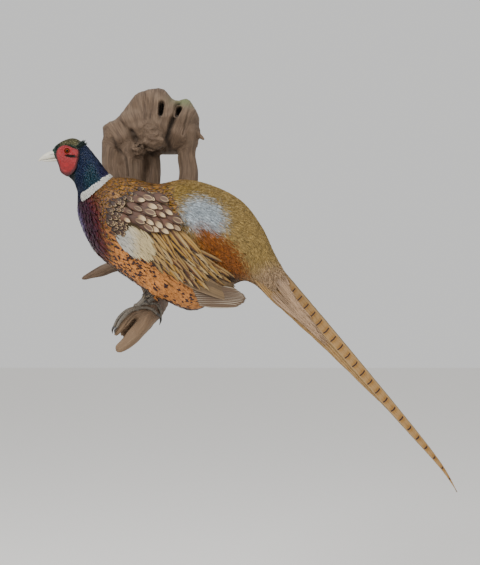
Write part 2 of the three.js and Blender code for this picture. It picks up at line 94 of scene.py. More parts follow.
def between(rows, t):
    """Catmull-Rom rows of a table at t."""
    t = np.asarray(t, float)
    i = np.clip(np.floor(t).astype(int), 0, len(rows) - 2)
    f = (t - i)[..., None]
    p0, p1, p2, p3 = (rows[np.clip(i + k, 0, len(rows) - 1)] for k in (-1, 0, 1, 2))
    bend = (2 * p0 - 5 * p1 + 4 * p2 - p3) * f**2 + (3 * p1 - p0 - 3 * p2 + p3) * f**3
    return 0.5 * (2 * p1 + (p2 - p0) * f + bend)


def round_edge(outline, count):
    """Evenly numbered places round a closed outline, smoothed."""
    around = np.linspace(0, len(outline), count, endpoint=False)
    return between(np.vstack([outline[-1:], outline, outline[:2]]), 1 + around)


def circle(count):
    return np.linspace(0, 2 * math.pi, count, endpoint=False)


def hump(x, z, at, size):
    """1 at a place in the side view, falling away over the size given each way."""
    return np.exp(-(((x - at[0]) / size[0]) ** 2 + ((z - at[1]) / size[1]) ** 2))


def unit(vectors):
    """Vectors of the same directions, each one long."""
    return vectors / np.linalg.norm(vectors, axis=-1)[..., None]


def deep_rows(values, n):
    """One value, or one for each of n feathers, laid out to go with their rows and rings."""
    return np.broadcast_to(np.asarray(values, float), (n,))[:, None, None]


def side_points(x, z, side, out):
    """Points that stand `out` from the middle plane on one side of the bird."""
    return np.stack([x, BIRD_Y - side * out, z], -1)


def inside(x, z, outline):
    """Whether places in the side view lie inside an outline."""
    hit = np.zeros(np.shape(x), bool)
    for (ax, az), (bx, bz) in zip(outline, np.roll(outline, -1, 0)):
        crosses = (az > z) != (bz > z)
        hit ^= crosses & (x < (bx - ax) * (z - az) / (bz - az + 1e-12) + ax)
    return hit


# ---------------------------------------------------------------- the body's form
def body(t, a, grow=0.0):
    """Points of the plumage's form: a turns from the back over the bird's left side."""
    bx, bz, vx, vz, half = np.moveaxis(between(BODY, t), -1, 0)
    ux, uz = (bx - vx) / 2, (bz - vz) / 2
    deep = np.hypot(ux, uz)
    rise = np.cos(a) * (deep + grow) + WIDEST * deep * np.sin(a) ** 2
    x = (bx + vx) / 2 + ux / deep * rise
    z = (bz + vz) / 2 + uz / deep * rise
    return np.stack([x, BIRD_Y - np.sin(a) * (half + grow), z], -1)


def speed(t, a):
    """Millimetres of surface for a step of one in t, and in a."""
    d = 0.02
    along = np.linalg.norm(body(t + d, a) - body(t - d, a), axis=-1) / (2 * d)
    round_ = np.linalg.norm(body(t, a + d) - body(t, a - d), axis=-1) / (2 * d)
    return along, round_


def make_side_table():
    """How far the body's side stands from the middle plane over a grid of the side view."""
    xs = np.arange(-170, 245, SIDE_STEP)
    zs = np.arange(-280, 30, SIDE_STEP)
    gx, gz = np.meshgrid(xs, zs, indexing="ij")
    best = np.zeros_like(gx)
    for t in np.arange(0, TAIL_AT, 0.02):
        bx, bz, vx, vz, half = between(BODY, t)
        nx, nz = between(BODY, t + 0.02)[[0, 1]] - (bx, bz)
        ux, uz = (bx - vx) / 2, (bz - vz) / 2
        deep = math.hypot(ux, uz)
        px, pz = gx - (bx + vx) / 2, gz - (bz + vz) / 2
        off = (px * uz - pz * ux) / deep
        rise = np.clip((px * ux + pz * uz) / deep**2, -1, 1)
        c = (1 - np.sqrt(1 + 4 * WIDEST * (WIDEST - rise))) / (2 * WIDEST)
        depth = np.sqrt(np.clip(1 - c**2, 0, 1)) * half
        near = np.abs(off) < SIDE_STEP + 0.6 * math.hypot(nx, nz)
        best = np.where(near, np.maximum(best, depth), best)
    return xs, zs, best


SIDE_X, SIDE_Z, SIDE_DEPTH = make_side_table()


def body_side(x, z):
    """How far the body's side stands from the middle plane."""
    fx = np.clip((x - SIDE_X[0]) / SIDE_STEP, 0, len(SIDE_X) - 1.001)
    fz = np.clip((z - SIDE_Z[0]) / SIDE_STEP, 0, len(SIDE_Z) - 1.001)
    i, k = fx.astype(int), fz.astype(int)
    fx, fz = fx - i, fz - k
    low = SIDE_DEPTH[i, k] * (1 - fx) + SIDE_DEPTH[i + 1, k] * fx
    high = SIDE_DEPTH[i, k + 1] * (1 - fx) + SIDE_DEPTH[i + 1, k + 1] * fx
    return low * (1 - fz) + high * fz


def wing_side(x, z):
    """How far the folded wing's outer face stands from the middle plane."""
    tuck = np.clip(1 + ((x - 42) * 0.8 + (z + 88) * 0.6) / 45, 0, 1)
    clear = 56 - 0.22 * np.maximum(x - 30, 0) - 0.03 * np.abs(z + 150) - 18 * tuck**2
    return np.maximum(body_side(x, z), clear) + 9


# ---------------------------------------------------------------- meshes
def add_values(mesh, values):
    """Attributes on a mesh's points: a colour has three columns, and a number one."""
    for title, value in values.items():
        value = np.asarray(value, np.float32)
        if value.ndim == 2:
            colour = np.concatenate([value, np.ones((len(value), 1), np.float32)], 1)
            layer = mesh.color_attributes.new(title, "FLOAT_COLOR", "POINT")
            layer.data.foreach_set("color", colour.ravel())
        else:
            mesh.attributes.new(title, "FLOAT", "POINT").data.foreach_set("value", value)


def make_mesh(name, points, face_sets, look, replaces=(), maps=None, values=None):
    """One piece that rides on the part: faces come in sets of one size, maps and values by vertex."""
    mesh = bpy.data.meshes.new(name)
    world = (np.asarray(points, float).reshape(-1, 3) - (0, 0, ARCH_DROP)) / 1000
    corners = np.concatenate([np.asarray(f).ravel() for f in face_sets])
    sizes = np.concatenate([np.full(len(f), np.shape(f)[1]) for f in face_sets])
    mesh.vertices.add(len(world))
    mesh.vertices.foreach_set("co", world.astype(np.float32).ravel())
    mesh.loops.add(len(corners))
    mesh.loops.foreach_set("vertex_index", corners.astype(np.int32))
    mesh.polygons.add(len(sizes))
    mesh.polygons.foreach_set("loop_start", (np.cumsum(sizes) - sizes).astype(np.int32))
    mesh.update(calc_edges=True)
    for title, uv in (maps or {}).items():
        layer = mesh.uv_layers.new(name=title)
        layer.data.foreach_set("uv", np.asarray(uv, np.float32).reshape(-1, 2)[corners].ravel())
    add_values(mesh, values or {})
    mesh.polygons.foreach_set("use_smooth", np.full(len(sizes), True))
    mesh.validate()
    mesh.materials.append(look)
    piece = bpy.data.objects.new(name, mesh)
    bpy.context.scene.collection.objects.link(piece)
    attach(piece, "root")
    if replaces:
        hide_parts(*replaces)
    return piece


def grid_faces(rows, sides, start=0):
    """Quads of rings of points laid one after the other."""
    r, k = np.meshgrid(np.arange(rows - 1), np.arange(sides), indexing="ij")
    a = r * sides + k
    b = r * sides + (k + 1) % sides
    return np.stack([a, b, b + sides, a + sides], -1).reshape(-1, 4) + start


def tube_faces(rows, sides, start=0):
    """A closed tube of rings: its quads and its two end faces."""
    ends = np.stack([np.arange(sides)[::-1], (rows - 1) * sides + np.arange(sides)]) + start
    return [grid_faces(rows, sides, start=start), ends]


# ---------------------------------------------------------------- feathers
def spread(values, count):
    """A value of each feather, on all of its points."""
    return np.repeat(np.asarray(values, float), count, axis=0)


def unwrap(p, q, margin=0.01):
    """Places on the unwrap, from 0 to 1 each way."""
    place = np.stack([p, q], -1).astype(float)
    low, high = place.min(0), place.max(0)
    return margin + (place - low) / np.maximum(high - low, 1e-9) * (1 - 2 * margin)


class Flock:
    """Feathers of one piece: thin closed blades, a little arched, with a map along and across."""

    def __init__(self, steps, columns, thick=0.25):
        """`steps` along each blade and `columns` across it; `thick` is its thickness."""
        self.u = 1 - (1 - np.linspace(0, 1, steps + 1)) ** 1.3
        top = np.linspace(-1, 1, columns + 1)
        self.v = np.concatenate([top, top[-2:0:-1]])
        self.under = np.concatenate([np.zeros(columns + 1), np.ones(columns - 1)])
        self.thick = thick

    def grid(self, n, length, width, power, lift, arch):
        """Steps along, across and up for n feathers: arrays of n x rows x ring."""
        u = self.u[None, :, None]
        v = self.v[None, None, :]
        length, width = deep_rows(length, n), deep_rows(width, n)
        shape = np.clip(u / 0.3, 0.12, 1) ** 0.6 * np.sqrt(np.clip(1 - u**power, 0.004, 1))
        edge = 1 - v**2
        along = u * length - np.abs(v) ** 2 * width * 0.18 * u
        across = v * shape * width / 2
        up = deep_rows(lift, n) * u + deep_rows(arch, n) * shape * edge
        return along, across, up - self.under * self.thick * edge

    def turned(self, along, across, angle):
        """Steps along and across after each feather is turned by its angle."""
        angle = deep_rows(angle, len(along))
        c, s = np.cos(angle), np.sin(angle)
        return along * c - across * s, along * s + across * c

    def faces(self, n):
        rows, ring = len(self.u), len(self.v)
        quads, ends = tube_faces(rows, ring)
        shift = (np.arange(n) * rows * ring)[:, None, None]
        return [(quads[None] + shift).reshape(-1, 4), (ends[None] + shift).reshape(-1, ring)]

    def maps(self, roots, patch):
        """The vane map, and OFBake: a patch at each feather's root on the unwrap."""
        u = np.broadcast_to(self.u[None, :, None], (len(roots), len(self.u), len(self.v)))
        v = np.broadcast_to(self.v[None, None, :], u.shape)
        vane = np.stack([u, v / 2 + 0.5], -1)
        bake = roots[:, None, None, :] + np.stack([(u - 0.5) * patch[0], v * patch[1] / 2], -1)
        return {"vane": vane, "OFBake": bake}

    def build(self, name, points, roots, patch, kind, slot, tint, shade=None, replaces=(), **more):
        """Makes the piece: a tint and a shade for each feather, and any more values by point."""
        n, count = len(roots), len(self.u) * len(self.v)
        shade = rng.random(n) if shade is None else shade
        values = {"tint": spread(tint, count), "shade": spread(shade, count), **more}
        maps = self.maps(roots, patch)
        make_mesh(name, points, self.faces(n), FEATHERS[kind], replaces, maps, values)


def coat_on_body(name, t, a, kind, slot, length, width, inset, lift, arch, tint, power=4.0, turn=0.0,
                 steps=5, columns=4, shade=None):
    """Feathers that follow the body's form, with their roots `inset` under it."""
    n = len(t)
    flock = Flock(steps, columns)
    along, across, up = flock.grid(n, length, width, power, lift, arch)
    along, across = flock.turned(along, across, turn)
    along_t, round_a = (deep_rows(values, n) for values in speed(t, a))
    tt = deep_rows(t, n) + along / along_t
    aa = deep_rows(a, n) + across / round_a
    points = body(np.clip(tt, 0, TAIL_AT - 0.001), aa, up - deep_rows(inset, n))
    patch = 0.8 / math.sqrt(n)
    flock.build(name, points, unwrap(t, a), (patch, patch), kind, slot, tint, shade)


def coat_on_side(name, spots, angle, side, kind, slot, length, width, height, lift, arch, tint,
                 power=4.0, steps=5, columns=4, depth=wing_side, patch=None, replaces=()):
    """Feathers that lie on the wing or face, at a place and an angle in the side view."""
    n = len(spots)
    flock = Flock(steps, columns)
    along, across, up = flock.grid(n, length, width, power, lift, arch)
    along, across = flock.turned(along, across, angle)
    x, z = deep_rows(spots[:, 0], n) + along, deep_rows(spots[:, 1], n) + across
    points = side_points(x, z, side, depth(x, z) + up + deep_rows(height, n))
    patch = patch or 0.8 / math.sqrt(n)
    flock.build(name, points, unwrap(*spots.T), (patch, patch), kind, slot, tint, replaces=replaces)


# ---------------------------------------------------------------- materials
def feed(tree, node, inputs):
    """Sets each input of a node to a number or colour, or links it to a Value."""
    for title, value in inputs.items():
        if isinstance(value, Value):
            tree.links.new(value.socket, node.inputs[title])
        else:
            node.inputs[title].default_value = value


def add_node(tree, kind, inputs, **settings):
    """A new node of a material; `settings` are its own properties."""
    node = tree.nodes.new(f"ShaderNode{kind}")
    for title, setting in settings.items():
        setattr(node, title, setting)
    feed(tree, node, inputs)
    return node


def math_step(operation):
    """A method that works a Value and any others through one math node."""
    def apply(self, *others):
        node = add_node(self.tree, "Math", dict(enumerate((self, *others))), operation=operation)
        return Value(self.tree, node.outputs[0])
    return apply


class Value:
    """A number or colour that a material works out at each point."""

    def __init__(self, tree, socket):
        self.tree = tree
        self.socket = socket

    __add__ = math_step("ADD")
    __sub__ = math_step("SUBTRACT")
    __mul__ = math_step("MULTIPLY")
    __truediv__ = math_step("DIVIDE")
    __pow__ = math_step("POWER")
    __abs__ = math_step("ABSOLUTE")
    wave = math_step("SINE")
    part = math_step("FRACT")

    def step(self, low, high):
        """0 at low and 1 at high, smooth between and flat beyond, whichever is the greater."""
        turned = low > high
        inputs = {"Value": self, "From Min": min(low, high), "From Max": max(low, high),
                  "To Min": float(turned), "To Max": float(not turned)}
        node = add_node(self.tree, "MapRange", inputs, interpolation_type="SMOOTHSTEP")
        return Value(self.tree, node.outputs["Result"])


class Look:
    """A material: a base colour with layers mixed over it, and a bump."""

    def __init__(self, name, roughness, metallic=0.0, **more):
        """`more` sets the shader's other inputs, by their names."""
        self.material = bpy.data.materials.new(name)
        self.material.use_nodes = True
        self.tree = self.material.node_tree
        self.shader = self.tree.nodes["Principled BSDF"]
        inputs = {title.replace("_", " "): value for title, value in more.items()}
        feed(self.tree, self.shader, {"Roughness": roughness, "Metallic": metallic, **inputs})
        self.colour = None

    def value(self, output, kind, inputs=None, **settings):
        """One output of a new node."""
        node = add_node(self.tree, kind, inputs or {}, **settings)
        return Value(self.tree, node.outputs[output])

    def vane(self):
        """How far along a feather (0 to 1) and across it (-1 to 1)."""
        split = add_node(self.tree, "SeparateXYZ", {0: self.value(0, "UVMap", uv_map="vane")})
        return Value(self.tree, split.outputs[0]), Value(self.tree, split.outputs[1]) * 2 - 1

    def attribute(self, title, output="Fac"):
        return self.value(output, "Attribute", attribute_name=title)

    def noise(self, scale, stretch=(1, 1, 1), detail=3.0, source=None):
        """Noise from 0 to 1 in the part's own space, or over another vector."""
        source = source or self.value("Object", "TexCoord")
        place = self.value(0, "Mapping", {"Vector": source, "Scale": stretch})
        return self.value("Fac", "TexNoise", {"Vector": place, "Scale": scale, "Detail": detail})

    def vane_noise(self, along, across, detail=2.0):
        """Noise over a feather's map, different on each feather."""
        u, v = self.vane()
        place = {0: u * along, 1: v * across, 2: self.attribute("shade") * 40}
        return self.noise(1.0, detail=detail, source=self.value(0, "CombineXYZ", place))

    def base(self, colour):
        """The colour under the layers: a screen colour or a Value."""
        self.colour = colour if isinstance(colour, Value) else (*linear(colour), 1)

    def over(self, amount, colour):
        """Mixes a screen colour over what is there, by a Value."""
        inputs = {0: amount, 6: self.colour, 7: (*linear(colour), 1)}
        self.colour = self.value(2, "Mix", inputs, data_type="RGBA", clamp_factor=True)

    def bump(self, height, strength, distance):
        inputs = {"Height": height, "Strength": strength, "Distance": distance}
        feed(self.tree, self.shader, {"Normal": self.value(0, "Bump", inputs)})

    def deepen(self, hue, saturation, value):
        """Turns the hue, with 0.5 for no turn, and makes the colour fuller and darker."""
        inputs = {"Color": self.colour, "Hue": hue, "Saturation": saturation, "Value": value}
        self.colour = self.value("Color", "HueSaturation", inputs)

    def done(self):
        feed(self.tree, self.shader, {"Base Color": self.colour})
        return self.material


def plain_look(name, colour, roughness, metallic=0.0):
    """A material of one colour."""
    look = Look(name, roughness, metallic)
    look.base(colour)
    return look.done()


def tip_lines(u, v, bend):
    """How far along a feather, with lines that bend round its tip."""
    return u + abs(v) ** 2 * bend


def barbs(look, count, slant=3.0):
    """The height of the fine lines that run out from the shaft towards the tip, and of the shaft."""
    u, v = look.vane()
    lines = ((u * count - abs(v) * slant + look.attribute("shade") * 9) * (2 * math.pi)).wave()
    return lines * 0.5 + abs(v).step(0.1, 0.0) * 1.5


def feather_look(name, paint, roughness, metallic=0.0, bump=0.25, count=26.0, root=0.4,
                 deep=(0.486, 1.3, 0.78), **more):
    """A feather's material: `paint` lays the marks over the tint, and `root` sets how much painted shade
    darkens its root, where it lies under the feathers before it.
    """
    look = Look(name, roughness, metallic, **more)
    look.base(look.attribute("tint", "Color"))
    u, v = look.vane()
    paint(look, u, v)
    height = barbs(look, count)
    look.over(look.attribute("shade").step(0.3, 0.0) * 0.25, 0x100a06)
    # Painted shade: each feather's root darkened where it lies under the feathers before it.
    look.over(u.step(0.4, 0.0) * root, 0x0c0806)
    look.deepen(*deep)
    look.bump(height, bump, 0.0003)
    return look.done()


def paint_nothing(look, u, v):
    pass


def paint_plain(look, u, v):
    look.over(look.vane_noise(3, 8).step(0.35, 0.75) * 0.3, 0x1c1208)


def paint_breast(look, u, v):
    look.over(tip_lines(u, v, 0.16).step(0.84, 0.96) * 0.75, 0x120a1a)
    # Painted sheen: violet patches at random over the breast feathers.
    look.over(look.vane_noise(4, 9).step(0.5, 0.8) * 0.3, 0x5c3a80)


def paint_mantle(look, u, v):
    """Golden, with a rusty middle, a broken dark line near the edge and a buff rim."""
    tip = tip_lines(u, v, 0.16)
    broken = look.vane_noise(4, 3).step(0.3, 0.45)
    look.over(look.vane_noise(3, 12).step(0.5, 0.8) * 0.5, 0xc8a468)
    look.over(abs(v).step(0.5, 0.15) * u.step(0.4, 0.65) * 0.75, 0x4c1c0c)
    look.over(tip.step(0.66, 0.74) * broken, 0x200a06)
    look.over(tip.step(0.86, 0.92), 0xb09058)


def paint_scale(look, u, v):
    """A cream drop at the tip, or only its outline, with a dark line round it and a mauve-brown rim."""
    shade = look.attribute("shade")
    across = (v + (shade - 0.5) * 0.2) * (u * -1.0 + 2.5)
    far = (((u - 0.74) * (u.step(0.69, 0.79) * 1.8 + 3.0)) ** 2 + across ** 2) ** 0.5
    look.over(look.vane_noise(5, 10).step(0.45, 0.8) * 0.5, 0x38201a)
    look.over(far.step(1.6, 1.1) * u.step(0.35, 0.6), 0x1c0f0a)
    look.over(tip_lines(u, v, 0.12).step(0.955, 0.98), 0x765840)
    look.over(far.step(1.06, 0.92) * u.step(0.38, 0.62), 0xa2865c)
    look.over(far.step(0.98, 0.8) * u.step(0.48, 0.8) * (shade * 0.4 + 0.5), 0xd6c49c)
    look.over(far.step(0.82, 0.6) * shade.step(0.4, 0.34) * 0.85, 0x54382c)
    look.over(far.step(0.8, 0.3) * look.vane_noise(30, 6).step(0.5, 0.75) * 0.3, 0x8f6d48)


def paint_ring(look, u, v):
    """A thin cream line just inside the tip of a brown feather."""
    far = (((u - 0.5) / 0.4) ** 2 + (v / 0.78) ** 2) ** 0.5
    line = far.step(0.7, 0.8) * far.step(1.02, 0.92) * u.step(0.45, 0.7)
    look.over(far.step(0.8, 0.5) * 0.7, 0x3a2416)
    look.over(far.step(0.95, 1.05) * 0.8, 0x2a1a10)
    look.over(line * look.vane_noise(6, 4).step(0.25, 0.5), 0xc2ad86)


def paint_spot(look, u, v):
    """An upright dark spot near the tip of an orange-gold feather."""
    shade = look.attribute("shade")
    far = (((u - 0.84) / 0.25) ** 2 + ((v + (u - 0.84) * 2.4) / 1.1) ** 2) ** 0.5
    look.over(look.vane_noise(3, 14).step(0.4, 0.75) * 0.5, 0xdca970)
    look.over(far.step(1.4, 1.1) * shade.step(0.79, 0.81), 0x2c0a04)


def paint_covert(look, u, v):
    look.over(look.vane_noise(2, 16).step(0.45, 0.8) * 0.35, 0x8d8778)
    look.over(abs(v).step(0.07, 0.0) * 0.2, 0x6a6254)


def paint_streak(look, u, v):
    """One pale border and one dark, both wavy, along a narrow feather."""
    wavy = v + look.vane_noise(4, 1) * 0.9 - 0.45
    broken = look.vane_noise(10, 2).step(0.3, 0.5)
    look.over(wavy.step(-0.15, -0.35) * broken, 0x2e1c0e)
    look.over(wavy.step(0.1, 0.3) * 0.8, 0xac9870)
    look.over(wavy.step(0.75, 0.95) * 0.6, 0x5a4028)
    look.over(tip_lines(u, v, 0.06).step(0.95, 0.99) * 0.6, 0xbca880)


def paint_primary(look, u, v):
    bars = ((u * 13 + abs(v) * 1.2 + look.vane_noise(4, 3)) * (2 * math.pi)).wave().step(-0.1, 0.7)
    look.over(bars * 0.3, 0x4c3e2c)
    # Painted highlight: a whitish band along both edges of each primary.
    look.over(abs(v).step(0.5, 0.8) * 0.9, 0xccc2ae)
    look.over(abs(v).step(0.08, 0.03) * 0.7, 0x8a7860)


def paint_remex(look, u, v):
    """Smooth tan, finely streaked along, with a pale pinkish rim."""
    look.over(look.vane_noise(5, 14).step(0.45, 0.75) * 0.5, 0x5c4a34)
    look.over(abs(v).step(0.55, 0.85) * 0.7, 0xb8a488)
    look.over(abs(v).step(0.08, 0.03) * 0.5, 0x4c3c2a)


def paint_tail(look, u, v):
    """Bars across the middle of the long feathers, fainter on the others, and pinkish-grey edges."""
    run = look.attribute("run")
    barred = look.attribute("barred")
    wave = abs((tip_lines(run, v, 0.12) - v * 0.05 + look.vane_noise(20, 2) * 0.06).part() - 0.5)
    reach = abs(v - 0.1).step(0.72, 0.58)
    look.over(look.vane_noise(70, 8).step(0.42, 0.75) * 0.4, 0x6b5230)
    look.over(wave.step(0.42, 0.15) * reach * 0.4, 0x8c6a34)
    look.over(abs(v).step(0.55, 0.85) * (barred * 0.4 + 0.3), 0xb09c78)
    look.over(wave.step(0.08, 0.045) * reach * barred, 0x260c05)
    look.over(abs(v).step(0.04, 0.015) * barred * 0.5, 0x3c2814)


def paint_gloss(look, u, v):
    look.over(tip_lines(u, v, 0.15).step(0.7, 0.95) * 0.5, 0x04060a)


# A row is what is painted on a kind of feather and how rough it is, and what else isn't as usual.
FEATHER_LOOKS = {
    "gloss": (paint_gloss, 0.36,
              {"metallic": 0.5, "root": 0.25, "deep": (0.52, 1.25, 0.66), "Coat_Weight": 0.15}),
    "collar": (paint_nothing, 0.75, {"bump": 0.1, "root": 0.0, "deep": (0.5, 1, 1)}),
    "breast": (paint_breast, 0.4, {"metallic": 0.3}),
    "mantle": (paint_mantle, 0.5, {}),
    "scale": (paint_scale, 0.6, {"deep": (0.49, 1.05, 0.82)}),
    "ring": (paint_ring, 0.55, {"deep": (0.49, 1.15, 0.82)}),
    "spot": (paint_spot, 0.6, {"bump": 0.15, "root": 0.1, "deep": (0.49, 1.1, 0.84)}),
    "covert": (paint_covert, 0.65, {"bump": 0.12, "root": 0.1, "deep": (0.5, 1.1, 0.9)}),
    "streak": (paint_streak, 0.6, {"count": 60.0, "root": 0.2}),
    "remex": (paint_remex, 0.6, {"count": 90.0, "root": 0.1}),
    "primary": (paint_primary, 0.6, {"count": 90.0, "root": 0.1}),
    "hair": (paint_nothing, 0.55, {"bump": 0.0, "root": 0.3, "deep": (0.493, 1.05, 0.85)}),
    "plain": (paint_plain, 0.55, {}),
    "tail": (paint_tail, 0.55, {"count": 150.0}),
}
FEATHERS = {kind: feather_look(f"feather_{kind}", paint, rough, **more)
            for kind, (paint, rough, more) in FEATHER_LOOKS.items()}

# ---------------------------------------------------------------- where the colours lie
# The wattle's outline and the wing's, in the side view.
WATTLE = np.array([
    [-149, -7], [-145.5, 1], [-139, 5.5], [-131, 6], [-121.5, 2], [-112.5, -1.5], [-111, -10],
    [-113.5, -21], [-117, -32], [-125, -40], [-134, -41.5], [-141.5, -36], [-144.5, -26], [-147.5, -16],
], float)
WING = np.array([
    [-62, -92], [-42, -76], [-10, -66], [14, -66], [34, -90], [47, -126], [76, -159], [101, -184],
    [125, -205], [140, -222], [126, -237], [94, -235], [66, -217], [46, -203], [24, -190], [-6, -179],
    [-30, -165], [-48, -150], [-59, -130], [-64, -110],
], float)

# Patches of colour in the side view, each laid over the ones before. A row is the centre's x and z,
# half length, half width, tilt in degrees, colour, and how soft the edge is.
BODY_COLOUR = 0x8f6230
PATCHES = [
    (-40, -58, 62, 22, -4, 0x9c7c4c, 0.5),
    (140, -110, 125, 92, -40, 0xa68e54, 0.25),
    (-10, -200, 100, 42, -36, 0xc58c50, 0.3),
    (-80, -84, 30, 30, 0, 0x6c5028, 0.5),
    (-88, -122, 17, 62, 12, 0x5a2a18, 0.5),
    (-104, -116, 17, 62, 12, 0x3a1620, 0.4),
    # Painted sheen: a lilac band along the breast's front edge.
    (-120, -110, 10, 60, 12, 0x7c6c98, 0.6),
    (60, -74, 44, 16, -14, 0x987f3c, 0.5),
    (80, -104, 38, 26, -30, 0xb6bfc6, 0.3),
    (112, -164, 60, 21, -46, 0x945a1c, 0.3),
    (128, -206, 16, 10, -30, 0x2a2014, 0.5),
    (190, -208, 30, 34, -50, 0xb09674, 0.5),
]


def tint_at(x, z):
    """The plumage's colour at places in the side view."""
    tint = np.broadcast_to(linear(BODY_COLOUR), (*np.shape(x), 3))
    for px, pz, long_, wide, tilt, code, soft in PATCHES:
        c, s = math.cos(math.radians(tilt)), math.sin(math.radians(tilt))
        along = ((x - px) * c + (z - pz) * s) / long_
        across = ((z - pz) * c - (x - px) * s) / wide
        cover = smooth(-np.hypot(along, across), -1 - soft, -1 + soft)[..., None]
        tint = tint + (linear(code) - tint) * cover
    return tint


def collar_edges(a):
    """Where along the body the white collar starts and ends."""
    turns = [0, 0.8, 1.4, 2.0, 2.4]
    ahead = np.interp(np.abs(a), turns, [6.8, 6.8, 6.78, 6.66, 6.5])
    behind = np.interp(np.abs(a), turns, [6.93, 7.12, 7.36, 7.42, 7.2])
    return ahead, behind


def is_collar(t, a):
    """The collar is open in front."""
    ahead, behind = collar_edges(a)
    return (t > ahead) & (t < behind) & (np.abs(a) < COLLAR_ENDS)


def head_tint(t, a):
    """Dark green head with a bronze crown; the neck turns blue, teal and, in front, violet; the teal on
    the neck's side is partly its own colour and partly painted sheen.
    """
    turn = np.abs(a)
    layers = [
        (0x726a50, smooth(-turn, -1.2, -0.8) * smooth(t, 0.7, 1.4) * smooth(-t, -4.4, -3.4)),
        (0x0c4432, 0.7 * smooth(turn, 0.95, 1.15) * smooth(-turn, -1.5, -1.25) * smooth(-t, -3.6, -2.6)),
        (0x16304e, smooth(t, 3.4, 4.6)),
        # Teal on the side of the neck: partly its own iridescent colour, partly painted sheen.
        (0x0e4450, smooth(t, 5.2, 6.0) * smooth(turn, 0.7, 1.3) * smooth(-turn, -2.3, -1.7)),
        (0x141c50, smooth(t, 5.9, 6.8) * smooth(-turn, -1.3, -0.7)),
        (0x2c1644, 0.85 * smooth(turn, 2.2, 2.8) * smooth(t, 5.6, 6.8)),
        (0x0a0c10, 0.7 * smooth(turn, 1.6, 2.4) * smooth(-t, -4.4, -3.0)),
    ]
    tint = np.broadcast_to(linear(0x0e2c22), (*np.shape(t), 3))
    for code, cover in layers:
        tint = tint + (linear(code) - tint) * cover[..., None]
    return tint


def one_tint(count, code, vary):
    """The same colour for each feather, a little lighter or darker by turns."""
    return linear(code) * (1 + vary * rng.uniform(-1, 1, (count, 1)))


def mixed_tint(count, codes):
    """Each feather one of a few colours, by turns at random."""
    picked = rng.integers(0, len(codes), count)
    return np.array([linear(code) for code in codes])[picked] * rng.uniform(0.8, 1.2, (count, 1))


# ---------------------------------------------------------------- the coat's rows
def body_rows(start, end, spacing, squeeze=1.05):
    """Staggered places round the body from t = start to end: t, a, spacing along and round.

    `spacing` gives the gap between rows at values of t, and `squeeze` how much wider it is round.
    """
    places = []
    t, row = start, 0
    while t < end:
        gap = float(np.interp(t, *zip(*spacing)))
        around = gap * squeeze
        loop = body(np.full(100, t), np.linspace(0, 2 * math.pi, 100))
        girth = np.linalg.norm(np.diff(loop, axis=0), axis=1).sum()
        count = int(girth / around)
        step = gap / float(speed(np.array(t), np.array(1.2))[0])
        a = (np.arange(count) + 0.5 * (row % 2)) * 2 * math.pi / count - math.pi
        a = a + rng.uniform(-0.25, 0.25, count) * 2 * math.pi / count
        astray = rng.uniform(-0.3, 0.3, count) * step
        places.append(np.stack([t + astray, a, np.full(count, gap), np.full(count, around)], 1))
        t += step
        row += 1
    return np.concatenate(places)


class Places:
    """Roots on the body, with where each lies in the side view."""

    def __init__(self, rows):
        self.rows = rows
        self.t, self.a, self.gap, self.around = rows.T
        here = body(self.t, self.a)
        self.x, self.z = here[:, 0], here[:, 2]
        self.turn = np.abs(self.a)
        beside = (self.turn > 0.5) & (self.turn < 2.8)
        steps = [(0, 0), (12, 0), (-12, 0), (0, 12), (0, -12)]
        self.hidden = beside & np.all([inside(self.x + dx, self.z + dz, WING) for dx, dz in steps], 0)

    def pick(self, mask):
        return Places(self.rows[mask])

    def __len__(self):
        return len(self.t)


# The gap between rows of feathers, at values of t.
FEATHER_SPACING = [(0, 1.4), (2, 1.8), (4.3, 2.1), (6.8, 3.0), (8, 4.6), (10, 5.6), (12, 6.0), (17, 6)]
HAIR_SPACING = [(9, 4.0), (13, 4.4), (17, 3.6)]
FLANK_SPACING = [(7, 3.2), (9, 3.8), (16, 4.2)]
COLLAR_SPACING = [(6, 1.5), (8, 1.5)]
# The roots of the plain coat, of the hair-like back and rump, and of the flank's closer rows.
ALL = Places(body_rows(0.25, TAIL_AT - 0.3, FEATHER_SPACING))
HAIR = Places(body_rows(9.5, TAIL_AT - 0.25, HAIR_SPACING, 0.9))
FINE = Places(body_rows(7.5, 16, FLANK_SPACING))

# The plain coat's roots by part: the face inside the wattle's edge, and under the wing, stay bare.
BARE = WATTLE.mean(0) + (WATTLE - WATTLE.mean(0)) * 0.9
IS_HEAD = ALL.t < NECK_AT
ON_FACE = IS_HEAD & (inside(ALL.x, ALL.z, BARE) | (ALL.t < 0.4))
IS_COLLAR = is_collar(ALL.t, ALL.a)
NECK_ENDS = np.where(ALL.turn < COLLAR_ENDS, collar_edges(ALL.a)[0], 6.9)
IS_NECK = ~IS_HEAD & ~IS_COLLAR & (ALL.t < NECK_ENDS)
REST = ~IS_HEAD & ~IS_COLLAR & ~IS_NECK & ~ALL.hidden


def hair_zone(p):
    """Where the plumage turns hair-like: the lower back and rump, over and behind the wings."""
    edge = np.interp(p.z, [-250, -200, -120, -66, -40], [120, 100, 44, 30, 14])
    return (p.x > edge) & (p.turn < 2.75) | (p.t > 14.6)


def is_belly(p):
    return (p.turn > 2.95) & (p.t > 10.5)


def is_breast(p):
    return ~hair_zone(p) & (p.x < -84 - 0.12 * (p.z + 80)) & (p.t < 11.6)


def is_mantle(p):
    return ~hair_zone(p) & ~is_breast(p) & ((p.turn < 1.3) | (p.x < -70))


def is_flank(p):
    return ~(p.hidden | hair_zone(p) | is_breast(p) | is_mantle(p) | is_belly(p)) & (p.t > 7.6)


